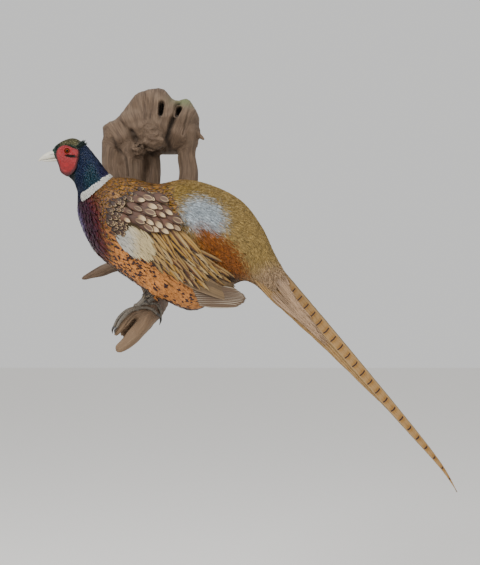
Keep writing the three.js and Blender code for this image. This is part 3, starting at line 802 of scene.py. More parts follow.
def coat(name, places, kind, slot, reach, broad, inset, lift, arch, tint=None, sway=0.14, **more):
    """Feathers `reach` gaps long and `broad` gaps wide, turned a little at random."""
    tint = tint_at(places.x, places.z) if tint is None else tint
    turn = sway * rng.standard_normal(len(places))
    length = places.gap * reach * rng.uniform(0.88, 1.12, len(places))
    coat_on_body(name, places.t, places.a, kind, slot, length, places.around * broad, inset, lift, arch,
                 tint, turn=turn, **more)


def coat_hair(name, places, strands=7, width=1.35):
    """Loose barbs: several narrow blades from each root, hanging more and more down the side."""
    again = places.pick(np.repeat(np.arange(len(places)), strands))
    n, t, round_ = len(again), again.t, again.turn
    along_t, round_a = speed(t, again.a)
    shift = rng.uniform(-0.6, 0.6, n) * again.around / round_a
    jump = rng.uniform(-0.6, 0.6, n) * again.gap / along_t
    length = again.gap * 3.4 * rng.uniform(0.7, 1.3, n) * (1 - 0.45 * smooth(t, 15.6, 17))
    light = 0.7 + 0.75 * rng.uniform(0.0, 1.0, n)[:, None] ** 1.5
    astray = rng.normal(0, 4, (2, n))
    tint = tint_at(again.x + astray[0], again.z + astray[1]) * light
    droop = 0.55 * smooth(round_, 0.7, 1.7) + 0.3 * smooth(round_, 1.3, 2.2) * smooth(t, 12, 14.5)
    width = rng.uniform(0.8, 1.25, n) * width
    lift = rng.uniform(1.6, 3.3, n)
    turn = droop * np.sign(again.a) + rng.normal(0, 0.16, n)
    coat_on_body(name, t + jump, again.a + shift, "hair", "rump_plumage", length, width, inset=2.2,
                 lift=lift, arch=0.2, tint=tint, turn=turn, steps=3, columns=2, power=2.0)


def make_body_coat():
    """The bird's plumage but for its wings, thighs and tail."""
    head = ALL.pick(IS_HEAD & ~ON_FACE)
    coat("coat_head", head, "gloss", "head_plumage", reach=2.6, broad=1.0, inset=0.9, lift=0.9, arch=0.12,
         tint=head_tint(head.t, head.a), steps=3, columns=2, power=2.6)
    neck = ALL.pick(IS_NECK)
    coat("coat_neck", neck, "gloss", "neck_plumage", reach=2.8, broad=1.1, inset=1.7, lift=1.7, arch=0.15,
         tint=head_tint(neck.t, neck.a), steps=4, columns=2, power=2.4)
    rows = Places(body_rows(6.4, 7.5, COLLAR_SPACING, 0.9))
    collar = rows.pick(is_collar(rows.t, rows.a))
    coat("coat_collar", collar, "collar", "neck_plumage", reach=3.2, broad=1.5, inset=1.6, lift=2.6,
         arch=0.1, tint=one_tint(len(collar), 0xe2dfd8, 0.04), steps=4, columns=2, power=2.2)
    coat("coat_breast", ALL.pick(REST & is_breast(ALL)), "breast", "body_plumage", reach=2.6, broad=1.05,
         inset=2.4, lift=2.5, arch=0.3, sway=0.2, power=2.6)
    coat("coat_mantle", ALL.pick(REST & is_mantle(ALL)), "mantle", "body_plumage", reach=2.8, broad=0.95,
         inset=1.7, lift=1.8, arch=0.2, sway=0.26, power=2.8)
    flank = FINE.pick(is_flank(FINE))
    spotted = rng.random(len(flank)) + 0.28 * smooth(flank.z, -215, -180) * smooth(-flank.x, -20, 20)
    tint = tint_at(flank.x, flank.z) * rng.uniform(0.82, 1.15, (len(flank), 1))
    coat("coat_flank", flank, "spot", "body_plumage", reach=3.6, broad=1.3, inset=1.6, lift=1.3, arch=0.12,
         tint=tint, sway=0.2, power=3.6, steps=6, shade=spotted)
    belly = ALL.pick(REST & is_belly(ALL))
    coat("coat_belly", belly, "plain", "body_plumage", reach=2.4, broad=1.3, inset=2.6, lift=2.8, arch=0.5,
         tint=one_tint(len(belly), 0x4a301c, 0.2))
    back = HAIR.pick(hair_zone(HAIR) & ~HAIR.hidden)
    is_top = back.turn < 0.93
    for side_name, here in (("left", back.a > 0), ("right", back.a <= 0)):
        coat_hair(f"coat_back_top_{side_name}", back.pick(is_top & here))
        coat_hair(f"coat_back_{side_name}", back.pick(~is_top & here))


make_body_coat()


# ---------------------------------------------------------------- the wing's feathers
def lattice(outline, angle, gap, around, jitter=0.14):
    """Staggered places inside an outline in the side view, in rows square to an angle."""
    along = np.array([math.cos(angle), math.sin(angle)])
    across = np.array([-along[1], along[0]])
    p, q = outline @ along, outline @ across
    places = []
    for row, at in enumerate(np.arange(p.min() - gap, p.max() + gap, gap)):
        for step in np.arange(q.min() - around, q.max() + around, around):
            spot = step + around * 0.5 * (row % 2) + rng.uniform(-1, 1) * jitter * around
            places.append((at + rng.uniform(-1, 1) * jitter * gap) * along + spot * across)
    places = np.array(places)
    return places[inside(places[:, 0], places[:, 1], outline)]


# The fields of wing feathers, each inside its outline in the side view.
SCAPULARS = np.array([
    [-52, -100], [-46, -80], [-36, -70], [-10, -70], [9, -63], [17, -80], [25, -96], [42, -111],
    [30, -124], [2, -122], [-30, -121], [-50, -118],
], float)
SHOULDER = np.array([
    [-66, -92], [-46, -76], [-14, -66], [10, -66], [-10, -74], [-30, -86], [-42, -96], [-36, -120],
    [-44, -136], [-58, -136], [-66, -110],
], float)
PALE = np.array([
    [-54, -128], [-25, -123], [-4, -132], [2, -146], [-2, -167], [-16, -168], [-33, -160], [-47, -149],
], float)
STREAKS = np.array([
    [-16, -132], [20, -115], [35, -115], [47, -126], [66, -150], [82, -169], [78, -177], [52, -187],
    [28, -181], [4, -169], [-12, -160],
], float)
REAR = np.array([[35, -173], [66, -150], [86, -171], [97, -187], [86, -193], [58, -187]], float)
# The tips of the flight feathers, from the first to the last: feather's number, x, z.
PRIMARY_TIPS = [[0, 2, 5, 8, 10], [140, 150.5, 154.5, 151, 142.5], [-224, -231, -237.5, -244, -249]]
SECONDARY_TIPS = [[0, 9, 17], [100, 137, 132], [-187, -219, -241]]
PRIMARY_ROOTS = [(66, -214), (80, -247)]
SECONDARY_ROOTS = [(17, -106), (54, -212)]
STREAK_TINTS = [0xb0a07c, 0x957a48, 0x64482a, 0x7c6a5a, 0x9a8250]
REAR_TINTS = [0x7a5c34, 0x5c4426, 0x8c7048, 0x6f6052]
SHOULDER_TINTS = [0x3c2c18, 0x563e20, 0x2c1e16]
CREAM, PALE_GREY, BUFF = linear(0xc0ae86), linear(0xb3b0a8), linear(0xb4a684)


def lay(name, spots, side, kind, angle, sway, length, width, height, lift, tint, **more):
    """A field of wing feathers: those nearer the tail come first, each row over the next."""
    n = len(spots)
    angle = angle + rng.normal(0, sway, n)
    length = length * rng.uniform(0.88, 1.12, n)
    coat_on_side(name, spots, angle, side, kind, "wing_plumage", length, width, height, lift, 0.6, tint,
                 **more)


def blades(name, roots, tips, side, kind, slot, width, height, lift, tint, **more):
    """Long feathers between a first and a last one, root to tip, laid one over the other."""
    row, x, z = tips
    number = np.arange(row[-1] + 1)
    roots = np.linspace(*roots, len(number))
    step = np.stack([np.interp(number, row, x), np.interp(number, row, z)], -1) - roots
    length = np.linalg.norm(step, axis=1)
    angle = np.arctan2(step[:, 1], step[:, 0])
    width, height = (np.linspace(*ends, len(number)) for ends in (width, height))
    coat_on_side(name, roots, angle, side, kind, slot, length, width, height, lift, 0.7,
                 one_tint(len(number), *tint), steps=16, columns=6, patch=0.09, **more)


def hand_side(x, z):
    """How far the closed hand of the wing stands from the middle plane."""
    return 47 - 0.22 * (x - 90) + 0.02 * (z + 240)


def make_wing(side_name, side):
    """The wing's feathers, from the hand to the shoulder, each field over the ones before."""
    blades(f"primaries_{side_name}", PRIMARY_ROOTS, PRIMARY_TIPS, side, "primary", "primary_plumage",
           width=(9, 9), height=(-9.5, -6.5), lift=3.5, tint=(0x5e5040, 0.08), depth=hand_side,
           power=4.5, replaces=[f"wing_{side_name}_primaries"])
    blades(f"secondaries_{side_name}", SECONDARY_ROOTS, SECONDARY_TIPS, side, "remex", "wing_plumage",
           width=(13, 9), height=(-4.2, -5.4), lift=0.8, tint=(0x84745a, 0.1), power=5.0)

    spots = lattice(REAR, -0.7, gap=15, around=5.6, jitter=0.3)
    angle = -0.62 + 0.004 * (spots[:, 1] + 200)
    lay(f"rear_coverts_{side_name}", spots, side, "streak", angle, sway=0.05, length=50, width=8,
        height=-4.0, lift=2.2, tint=mixed_tint(len(spots), REAR_TINTS), power=3.4, steps=9)

    spots = lattice(STREAKS, -0.85, gap=14, around=5.2, jitter=0.3)
    ahead = smooth(-spots[:, 0], -12, 12)[:, None]
    tint = mixed_tint(len(spots), STREAK_TINTS)
    tint = tint + (BUFF - tint) * ahead * 0.7
    angle = -0.92 + 0.0022 * spots[:, 0]
    length = np.interp(spots[:, 0], [-14, 24], [28, 54])
    lay(f"greater_coverts_{side_name}", spots, side, "streak", angle, sway=0.06, length=length, width=8.5,
        height=-3.0, lift=2.6, tint=tint, power=3.4, steps=9)

    spots = lattice(PALE, -0.7, gap=3.8, around=3.0, jitter=0.4)
    tint = CREAM + (PALE_GREY - CREAM) * smooth(-spots[:, 0], 16, 44)[:, None]
    tint = tint * rng.uniform(0.82, 1.12, (len(spots), 1))
    lay(f"pale_coverts_{side_name}", spots, side, "covert", -0.85, sway=0.1, length=21, width=4.4,
        height=-1.2, lift=0.9, tint=tint, power=2.2, steps=5, columns=2)

    spots = lattice(SHOULDER, -0.5, gap=5.2, around=4.8, jitter=0.35)
    grown = rng.uniform(0.65, 1.2, len(spots))
    lay(f"shoulder_{side_name}", spots, side, "ring", -0.5, sway=0.4, length=12 * grown, width=7 * grown,
        height=-1.2, lift=1.6, tint=mixed_tint(len(spots), SHOULDER_TINTS), power=5, steps=7)

    spots = lattice(SCAPULARS, -0.62, gap=14.2, around=11.0, jitter=0.17)
    size = (0.66 + 0.34 * smooth(spots[:, 0], -60, -16)) * rng.uniform(0.85, 1.15, len(spots))
    angle = np.interp(spots[:, 1], [-136, -104, -70], [-0.78, -0.55, -0.22])
    lay(f"scapulars_{side_name}", spots, side, "scale", angle, sway=0.1, length=30 * size,
        width=14.5 * size, height=-0.6, lift=2.8, tint=one_tint(len(spots), 0x62432c, 0.25),
        power=5, steps=9)


for side_name, side in SIDES.items():
    make_wing(side_name, side)


# ---------------------------------------------------------------- tubes and skin
def tube(path, radii, sides=24, steps=8, flat=1.0, rough=0.0, seed=0.0, swell=None):
    """Rings along a smooth path, with rounded ends, and the grain that runs with them.

    `swell` scales the radius by where a point is along and round.
    """
    path, radii = np.asarray(path, float), np.asarray(radii, float)
    count = (len(path) - 1) * steps
    along = np.linspace(0, 1, count + 1)
    centre = between(path, along * (len(path) - 1))
    radius = between(radii[:, None], along * (len(radii) - 1))[:, 0]
    tangent = unit(np.gradient(centre, axis=0))
    normal = np.zeros_like(tangent)
    guess = np.cross(tangent[0], (0, 1, 0) if abs(tangent[0][1]) < 0.9 else (1, 0, 0))
    for i, direction in enumerate(tangent):
        guess = unit(guess - direction * (guess @ direction))
        normal[i] = guess
    side = np.cross(tangent, normal)
    turn = circle(sides)[None, :]
    first = np.sin(3 * turn + 5 * along[:, None] + seed)
    second = np.sin(5 * turn - 9 * along[:, None] + 2 * seed)
    wide = radius[:, None] * (1 + rough * (first + 0.6 * second))
    if swell is not None:
        wide = wide * swell(along[:, None], turn)
    c, s = np.cos(turn)[..., None], np.sin(turn)[..., None]
    ring = wide[..., None] * (c * normal[:, None] + s * flat * side[:, None])
    points = centre[:, None] + ring
    caps = [(0.85, math.sqrt(1 - 0.85**2)), (0.5, math.sqrt(1 - 0.5**2))]
    start = [centre[0] - tangent[0] * radius[0] * out + ring[0] * small for out, small in caps]
    end = [centre[-1] + tangent[-1] * radius[-1] * out + ring[-1] * small for out, small in caps[::-1]]
    points = np.concatenate([np.array(start), points, np.array(end)])
    length = np.linalg.norm(np.diff(centre, axis=0), axis=1).sum()
    where = (np.concatenate([[0, 0], along, [1, 1]]) * length)[:, None]
    middle = radius.mean()
    grain = np.broadcast_arrays(where, middle * np.cos(turn), middle * np.sin(turn))
    return points, np.stack(grain, -1)


class Shell:
    """Closed pieces gathered into one mesh."""

    def __init__(self):
        self.points, self.quads, self.fans, self.maps = [], [], {}, []
        self.count = 0

    def rings(self, points, grain=None):
        """Adds one closed piece: rings of points, and where each point lies along the grain."""
        rows, sides = points.shape[:2]
        quads, ends = tube_faces(rows, sides, self.count)
        self.quads.append(quads)
        self.fans.setdefault(sides, []).append(ends)
        self.points.append(points.reshape(-1, 3))
        grain = np.zeros((rows, sides, 3)) if grain is None else grain
        self.maps.append(grain.reshape(-1, 3))
        self.count += rows * sides
        return self

    def build(self, name, look, slot, replaces=(), values=None):
        points = np.concatenate(self.points)
        faces = [np.concatenate(self.quads)] + [np.concatenate(f) for f in self.fans.values()]
        return make_mesh(name, points, faces, look, replaces, values=values)


def body_shell(rows=180, sides=96):
    """The skin of head, neck, trunk and rump, inside the plumage by its depth."""
    t = np.linspace(0, TAIL_AT, rows)[:, None] + np.zeros((1, sides))
    a = np.linspace(-math.pi, math.pi, sides, endpoint=False)[None, :] + np.zeros((rows, 1))
    inset = np.interp(t, [0, 4, 6.5, 8, 16, 17], [1.0, 1.1, 2.0, 3.2, 3.2, 2.0])
    return t, a, body(t, a, -inset)


def wing_pad(side, rings=14):
    """The wing under its feathers, as a cushion over the wing's outline."""
    edge = round_edge(WING, 120)
    middle = edge.mean(0)
    outer = [(f, 5.5 + 3 * f**6) for f in np.linspace(0.05, 0.93, rings)]
    inner = [(0.9, 13.0), (0.5, 13.0)]
    rows = []
    for share, drop in outer + inner:
        x, z = (middle + (edge - middle) * share).T
        rows.append(side_points(x, z, side, wing_side(x, z) - drop))
    return np.array(rows)


# Each leg's hock, the ball of its foot and the path of each toe.
LEGS = {
    "left": {
        "hock": (16, -172, -210), "foot": (-20, -173, -251),
        "toes": {
            "middle": [(-20, -174, -252), (-35, -178, -257), (-47, -184, -268), (-54, -188, -281)],
            "inner": [(-20, -171, -252), (-28, -164, -255), (-30, -159, -266), (-28, -156, -279)],
            "outer": [(-20, -176, -252), (-30, -186, -257), (-42, -195, -270), (-49, -198, -282)],
            "hind": [(-18, -172, -252), (-8, -164, -251), (2, -155, -254), (10, -147, -261)],
        },
    },
    "right": {
        "hock": (32, -128, -208), "foot": (-6, -127, -247),
        "toes": {
            "middle": [(-6, -126, -248), (-16, -123, -249), (-22, -119, -262), (-20, -117, -275)],
            "inner": [(-6, -129, -248), (-18, -137, -254), (-25, -141, -264), (-25, -143, -276)],
            "outer": [(-6, -124, -248), (-14, -112, -248), (-21, -103, -256), (-21, -98, -268)],
            "hind": [(-4, -127, -248), (7, -126, -247), (15, -125, -256), (15.5, -124, -268)],
        },
    },
}


def thigh_path(leg, side):
    """Where the thigh runs, from inside the body to half way down the leg."""
    hock, foot = np.array(leg["hock"], float), np.array(leg["foot"], float)
    top = hock + (22, side * 4, 30)
    return np.array([top, top + (hock - top) * 0.75, hock + (foot - hock) * 0.55])


def fuse(piece, voxel, smoothing=0):
    """Turns a piece of many closed shells into one closed surface; `voxel` is in metres."""
    remesh = piece.modifiers.new("fuse", "REMESH")
    remesh.mode = "VOXEL"
    remesh.voxel_size = voxel
    remesh.use_smooth_shade = True
    if smoothing:
        soften = piece.modifiers.new("soften", "SMOOTH")
        soften.iterations = smoothing
    evaluated = piece.evaluated_get(bpy.context.evaluated_depsgraph_get())
    fused = bpy.data.meshes.new_from_object(evaluated)
    piece.modifiers.clear()
    piece.data = fused
    return fused


def vertex_places(mesh):
    """A mesh's points in the shape's own millimetres."""
    spots = np.zeros(len(mesh.vertices) * 3, np.float32)
    mesh.vertices.foreach_get("co", spots)
    return spots.reshape(-1, 3).astype(float) * 1000 + (0, 0, ARCH_DROP)


def nearest(places, points):
    """For each place, which of the points is nearest."""
    tree = KDTree(len(points))
    for i, point in enumerate(points):
        tree.insert(point, i)
    tree.balance()
    return np.array([tree.find(place)[1] for place in places])


def make_skin():
    """The bird's skin: body, wings and thighs fused into one closed surface."""
    shell = Shell()
    t, a, points = body_shell()
    shell.rings(points)
    for side_name, side in SIDES.items():
        shell.rings(wing_pad(side))
        shell.rings(tube(thigh_path(LEGS[side_name], side), [27, 20, 5.2], sides=32)[0])
    look = Look("skin", 0.8)
    look.base(look.attribute("tint", "Color"))
    look.bump(look.noise(900), 0.3, 0.0006)
    nodes = ["head", "neck", "trunk", "rump"]
    nodes += [f"{part}_{side_name}" for part in ("wing", "thigh") for side_name in SIDES]
    skin = shell.build("skin", look.done(), "body_plumage", nodes)
    finish_skin(fuse(skin, voxel=0.0014), t.ravel(), a.ravel(), points.reshape(-1, 3))


def finish_skin(mesh, t, a, points):
    """Gives the fused skin its markings, from the nearest place on the body's form, with painted shade on
    the body and wings.
    """
    spots = vertex_places(mesh)
    x, y, z = spots.T
    near = nearest(spots, points)
    t, a = t[near], a[near]
    winged = inside(x, z, WING) & (np.abs(y - BIRD_Y) > 30)
    # Painted shade: the body's and wing's colours at 0.65, for the skin seen deep between the feathers.
    tint = np.where(winged[:, None], linear(0x8a7250), tint_at(x, z)) * 0.65
    tint = np.where((t < 6.9)[:, None], head_tint(t, a), tint)
    tint = np.where(is_collar(t, a)[:, None], linear(0xc8c4bc), tint)
    add_values(mesh, {"tint": tint})


make_skin()


# ---------------------------------------------------------------- tail
RIDGE = np.array([(192, -166), (226, -206), (320, -318), (416, -435), (468, -503), (492, -547)], float)
TAIL_SLOPE = math.radians(62)  # the tail's feathers lie as a roof does, this steep on each side
TAIL_LAYER = 1.0  # how far each feather lies under the one before
# A row is how far along the ridge a feather ends; how far down the slope its shaft starts and ends;
# its width.
TAIL_PAIRS = [
    (1.0, 13.5, 1, 25), (0.84, 16, 6.5, 25), (0.72, 19.5, 12, 24), (0.6, 23, 18.5, 24),
    (0.5, 26, 23, 24), (0.4, 29.5, 28, 23), (0.31, 33, 33.5, 22), (0.24, 36, 37, 21), (0.18, 39, 41, 20),
]
TAIL_NODES = ("centre", "second", "third", "fourth", "outer")
BARRED = [1.0, 0.9, 0.5, 0.35, 0.25, 0.2, 0.15, 0.1, 0.1]  # how strong each pair's bars are
BARS_APART = (15.0, 22.0)  # at the tail's root and at its tip
COVERTS_HANG = 46.0  # below this the tail's coverts draw in faster towards its tip


def ridge_at(t):
    """Places along the ridge at shares t of its length, the way it runs, and its length."""
    fine = between(RIDGE, np.linspace(0, len(RIDGE) - 1, 400))
    run = np.concatenate([[0], np.cumsum(np.linalg.norm(np.diff(fine, axis=0), axis=1))])

    def place_at(distance):
        return np.stack([np.interp(distance, run, fine[:, k]) for k in (0, 1)], -1)

    at = t * run[-1]
    way = place_at(np.minimum(at + 4, run[-1])) - place_at(np.maximum(at - 4, 0))
    return place_at(at), unit(way), run[-1]


def roof(t, side):
    """Places on the ridge, the way down its slope on one side, and the way out from the slope."""
    place, way, length = ridge_at(t)
    zero = np.zeros(np.shape(t))
    square = np.stack([-way[..., 1], zero, way[..., 0]], -1)
    out = np.array([0, -side, 0])
    down = -math.sin(TAIL_SLOPE) * square + math.cos(TAIL_SLOPE) * out
    over = math.cos(TAIL_SLOPE) * square + math.sin(TAIL_SLOPE) * out
    return np.stack([place[..., 0], zero + BIRD_Y, place[..., 1]], -1), down, over, length


def tail_feather(flock, side, depth, end, start_down, end_down, width):
    """One long feather: its points, and how many bars there are up to each."""
    u, v = flock.u[:, None], flock.v[None, :]
    t = end * u[:, 0]
    ridge, fall, over, length = roof(t, side)
    half = width / 2 * np.maximum((1 - 0.35 * t) * (1 - u[:, 0] ** 5), 0.05)
    down = np.maximum(start_down + (end_down - start_down) * u[:, 0], half + 0.5)
    centre = ridge + fall * down[:, None]
    notch = 1 + 0.012 * rng.standard_normal((len(u), 1)) * (abs(v) > 0.9)
    wide = half[:, None] * v * notch
    arch = 0.9 * (1 - v**2) - flock.under * flock.thick * (1 - v**2)
    lift = arch - depth * TAIL_LAYER
    points = centre[:, None] + wide[..., None] * fall[:, None] + lift[..., None] * over[:, None]
    first, last = BARS_APART
    bars = length / (last - first) * np.log(1 + (last / first - 1) * t)
    return points, bars[:, None] + 0 * v


def make_tail(side_name, side):
    """Nine long feathers of one side, the middle ones on top."""
    flock = Flock(70, 8, thick=0.45)
    parts = [tail_feather(flock, side, depth, *row) for depth, row in enumerate(TAIL_PAIRS)]
    points, bars = (np.array(values) for values in zip(*parts))
    n = len(parts)
    roots = np.stack([np.full(n, 0.5), (np.arange(n) + 0.5) / n], -1)
    tint = one_tint(n, 0xb39a72, 0.05)
    flock.build(f"tail_{side_name}", points, roots, (0.96, 0.9 / n), "tail", "tail_plumage", tint,
                rng.uniform(0.4, 1, n), [f"tail_{name}_{side_name}" for name in TAIL_NODES],
                run=bars.ravel(), barred=spread(BARRED, bars[0].size))


def make_tail_coverts(side_name, side, n=2100):
    """The rump's hair-like feathers run on over the tail's root, furthest along its lower edge."""
    down = rng.uniform(10, 60, n)
    size = rng.uniform(0.7, 1.2, n) * np.interp(down, [12, 22], [14, 42])
    length = ridge_at(np.zeros(1))[2]
    reach = 0.12 + 0.15 * smooth(down, 16, 36) + rng.normal(0, 0.03, n) * smooth(down, 12, 22)
    start = np.maximum(reach - size / length, rng.uniform(0.03, 0.09, n))
    flock = Flock(4, 2)
    width = rng.uniform(1.4, 2.2, n)
    along, across, up = flock.grid(n, size, width, power=2.0, lift=1.0, arch=0.3)
    t = start[:, None, None] + along / length
    ridge, fall, over, _ = roof(t, side)
    hung, spare = np.minimum(down, COVERTS_HANG), np.maximum(down - COVERTS_HANG, 0)
    hang = deep_rows(hung, n) * (1.1 - 1.2 * t) + deep_rows(spare, n) * (1 - 4 * t) + across
    rise = deep_rows(8 * smooth(-start, -0.13, -0.08), n) * (1 - flock.u[None, :, None]) ** 2
    height = up + deep_rows(rng.uniform(-0.6, 1.4, n), n) + rise
    points = ridge + fall * hang[..., None] + over * height[..., None]
    flock.build(f"tail_coverts_{side_name}", points, unwrap(start, down), (0.02, 0.02), "hair",
                "rump_plumage", one_tint(n, 0xb49878, 0.2))


for side_name, side in SIDES.items():
    make_tail(side_name, side)
for side_name, side in SIDES.items():
    make_tail_coverts(side_name, side)


# ---------------------------------------------------------------- face
EYE = (-130.5, -3.0, 14.4)  # x, z, and how far its middle stands from the middle plane
EYE_RADIUS = 5.2
EYE_OPENING = 4.4
LOBE_OUT = 13.5  # how far the wattle's lobes stand from the middle plane, at the least


def face_side(x, z):
    """How far the bare skin of the face stands from the middle plane."""
    near = np.exp(-((np.hypot(x - EYE[0], z - EYE[1]) / 8) ** 2))
    return np.maximum(body_side(x, z) + 1.8 - 1.0 * near, LOBE_OUT)


def wattle_out(x, z, f):
    """How far the wattle's surface stands out, f of the way from the eye's opening to its edge."""
    away = np.hypot(x - EYE[0], z - EYE[1])
    lid = 1.1 * np.exp(-(((away - EYE_OPENING - 0.7) / 0.9) ** 2))
    lump = np.sin(x * 2.6 + 1.1 * np.sin(z * 1.3)) * np.sin(z * 2.3 + 0.9 * np.sin(x * 1.7))
    puff = 1.5 * smooth(-f, -1.02, -0.8) * smooth(away, 5, 10) - 0.8 * smooth(f, 0.93, 1.0)
    crease = 1.3 * hump(x, z + 0.1 * (x + 124), (-124, -11.5), (10, 2.8))
    return face_side(x, z) + lid + puff + 0.4 * lump * smooth(away, 5, 7.5) - crease


def wattle_look(name):
    """Red and pitted, with painted highlights on the tops of the bumps, painted shade in the pits, and
    painted shade along its edge where it curves in under the feathers.
    """
    look = Look(name, 0.45)
    look.base(0x84080e)
    pits = look.noise(520, detail=3)
    # Painted highlight: the tops of the bumps made lighter.
    look.over(pits.step(0.52, 0.72) * 0.6, 0xb42024)
    # Painted shade: the pits between the bumps made darker.
    look.over(pits.step(0.42, 0.3) * 0.7, 0x440306)
    look.over(look.noise(140, detail=2).step(0.5, 0.75) * 0.3, 0xb8181c)
    # Painted shade along the edge, where the skin curves in under the feathers.
    look.over(look.attribute("edge") * 0.85, 0x30020a)
    look.bump(pits, 0.9, 0.0009)
    return look.done()


def make_wattle(side_name, side, count=160, rings=44):
    """The bare red skin, swollen and wrinkled, open round the eye."""
    edge = round_edge(WATTLE, count)
    middle = np.array(EYE[:2])
    opening = EYE_OPENING / np.maximum(np.linalg.norm(edge - middle, axis=1), 1)[:, None]
    outer = list(np.linspace(0, 1, rings))
    inner = [0.99, 0.8, 0.3, 0.0]
    rows, folds = [], []
    for f in outer + inner:
        x, z = (middle + (edge - middle) * (opening + (1 - opening) * f)).T
        out = wattle_out(x, z, f) if len(rows) < rings else face_side(x, z) - 4.5
        rows.append(side_points(x, z, side, out))
        folds.append(np.stack([x, z], -1))
    seam = np.arange(count)
    onward = (seam + 1) % count
    last = (len(rows) - 1) * count
    join = np.stack([last + seam, last + onward, onward, seam], -1)
    # How much painted shade each ring of the edge gets.
    rim = np.repeat(smooth(outer + [1] * len(inner), 0.76, 0.94), count)
    name = f"wattle_skin_{side_name}"
    make_mesh(name, rows, [grid_faces(len(rows), count), join], wattle_look(name),
              [f"wattle_{side_name}"], {"grain": np.array(folds) / 100}, {"edge": rim})


def eye_look(name):
    """Black pupil, brown iris, dark rim, wet surface."""
    look = Look(name, 0.05, IOR=1.2)
    ring = look.attribute("ring")
    look.base(0x6a3210)
    look.over(ring.step(0.75, 0.95), 0x1a0a04)
    look.over(ring.step(0.42, 0.36), 0x040303)
    return look.done()


def make_eye(side_name, side, rows=40, sides=48):
    """A glass eye, a little more bulged in front."""
    polar = np.linspace(0.02, math.pi - 0.02, rows)[:, None]
    turn = circle(sides)[None, :]
    bulge = EYE_RADIUS * (1 + 0.06 * np.exp(-((polar / 0.5) ** 2)))
    x = EYE[0] + bulge * np.sin(polar) * np.cos(turn)
    z = EYE[1] + bulge * np.sin(polar) * np.sin(turn)
    out = EYE[2] + bulge * np.cos(polar) + 0 * turn
    Shell().rings(side_points(x, z, side, out)).build(
        f"eye_ball_{side_name}", eye_look(f"eye_glass_{side_name}"), "eye_glass", [f"eye_{side_name}"],
        {"ring": np.repeat(polar, sides)})


# Rows from the face to the bill's tip: upper edge x, z; lower edge x, z; half width.
BILL_UPPER = np.array([
    [-152.5, 1.5, -146, -12.6, 8.0], [-155.5, -0.5, -149.5, -13.2, 7.6], [-162, -3, -157, -14.4, 6.6],
    [-169, -6.8, -165, -15.4, 5.2], [-175, -12, -172, -16.3, 3.4], [-179, -17.4, -177.6, -18.2, 1.1],
], float)
BILL_LOWER = np.array([
    [-145.8, -13.4, -145.8, -18, 6.6], [-149.8, -13.9, -149.8, -18, 6.4], [-157, -15, -157, -18.6, 5.4],
    [-165, -16, -165, -18.6, 4], [-172, -16.9, -171.5, -18.2, 2],
], float)


def mandible(table, upper, rows=60, sides=48):
    """One half of the bill, with the nostril's slit and its cover on the upper one."""
    at = np.linspace(0, len(table) - 1, rows)
    tx, tz, bx, bz, half = (column[:, None] for column in between(table, at).T)
    turn = circle(sides)[None, :]
    c, s = np.cos(turn), np.sin(turn)
    high = 0.5 + 0.5 * np.sign(c) * np.abs(c) ** (0.85 if upper else 0.8)
    x, z = bx + (tx - bx) * high, bz + (tz - bz) * high
    width = half * np.sign(s) * np.abs(s) ** 0.9
    if upper:
        slit = hump(x, z, (-156.5, -8.3), (3.0, 0.9))
        cover = hump(x, z, (-156, -5.6), (4.0, 1.9))
        width = width * (1 - 0.2 * slit + 0.06 * cover)
    return np.stack([x, BIRD_Y - width, z], -1)


def bill_look():
    """Pale horn, with painted shade in the nostril."""
    look = Look("bill_horn", 0.36)
    look.base(0xcfcabb)
    look.over(look.noise(60, (1, 1, 6)).step(0.4, 0.8) * 0.35, 0xa49c86)
    # Painted shade in the nostril's slit.
    look.over(look.attribute("slit") * 0.85, 0x2e2a22)
    look.bump(look.noise(500), 0.12, 0.0003)
    return look.done()


def make_bill():
    """Both halves of the bill, with painted shade in the nostril."""
    material = bill_look()
    halves = [("bill_top", "bill_upper", BILL_UPPER), ("bill_under", "bill_lower", BILL_LOWER)]
    for name, node, table in halves:
        points = mandible(table, node == "bill_upper")
        x, _, z = points.reshape(-1, 3).T
        # Where the nostril's painted shade lies.
        slit = hump(x, z, (-156.5, -8.4), (2.6, 0.7))
        Shell().rings(points).build(name, material, "bill_horn", [node], {"slit": slit})


# Where the short dark feathers below the eye grow, in the side view.
DARK_FACE = np.array([
    [-137, -9.5], [-130, -9.5], [-121, -8.5], [-114, -8], [-114.5, -13], [-120, -15.5], [-128, -15.5],
    [-134, -12.5],
], float)


def make_face_feathers(side_name, side):
    """The short dark feathers set in the red skin below the eye."""
    spots = lattice(DARK_FACE, 0.0, gap=0.9, around=0.8, jitter=0.4)
    angle = rng.normal(-0.1, 0.3, len(spots))
    tint = one_tint(len(spots), 0x1c2415, 0.4)
    coat_on_side(f"face_feathers_{side_name}", spots, angle, side, "gloss", "head_plumage", length=4.0,
                 width=1.3, height=-0.4, lift=1.8, arch=0.1, tint=tint, steps=3, columns=2,
                 depth=face_side, power=2.4)


def make_ear_tuft(side_name, side):
    """The long narrow feathers that stand up behind the ear."""
    shell = Shell()
    root = np.array([-113, BIRD_Y - side * 15, 4.0])
    for _ in range(26):
        start = root + rng.normal(0, 1.3, 3)
        way = np.array([0.78, -side * 0.3, 0.5]) + rng.normal(0, 0.08, 3)
        size = rng.uniform(10, 15)
        path = [start, start + way * size * 0.5, start + way * size + (0, 0, rng.uniform(0, 1.5))]
        points, grain = tube(path, [0.5, 0.85, 0.15], sides=6, steps=3, flat=0.4)
        shell.rings(points, grain)
    look = plain_look(f"ear_tuft_{side_name}", 0x0c1f1a, 0.4, 0.4)
    shell.build(f"ear_feathers_{side_name}", look, "head_plumage", [f"ear_tuft_{side_name}"])


make_bill()
for side_name, side in SIDES.items():
    make_wattle(side_name, side)
    make_eye(side_name, side)
    make_face_feathers(side_name, side)
    make_ear_tuft(side_name, side)


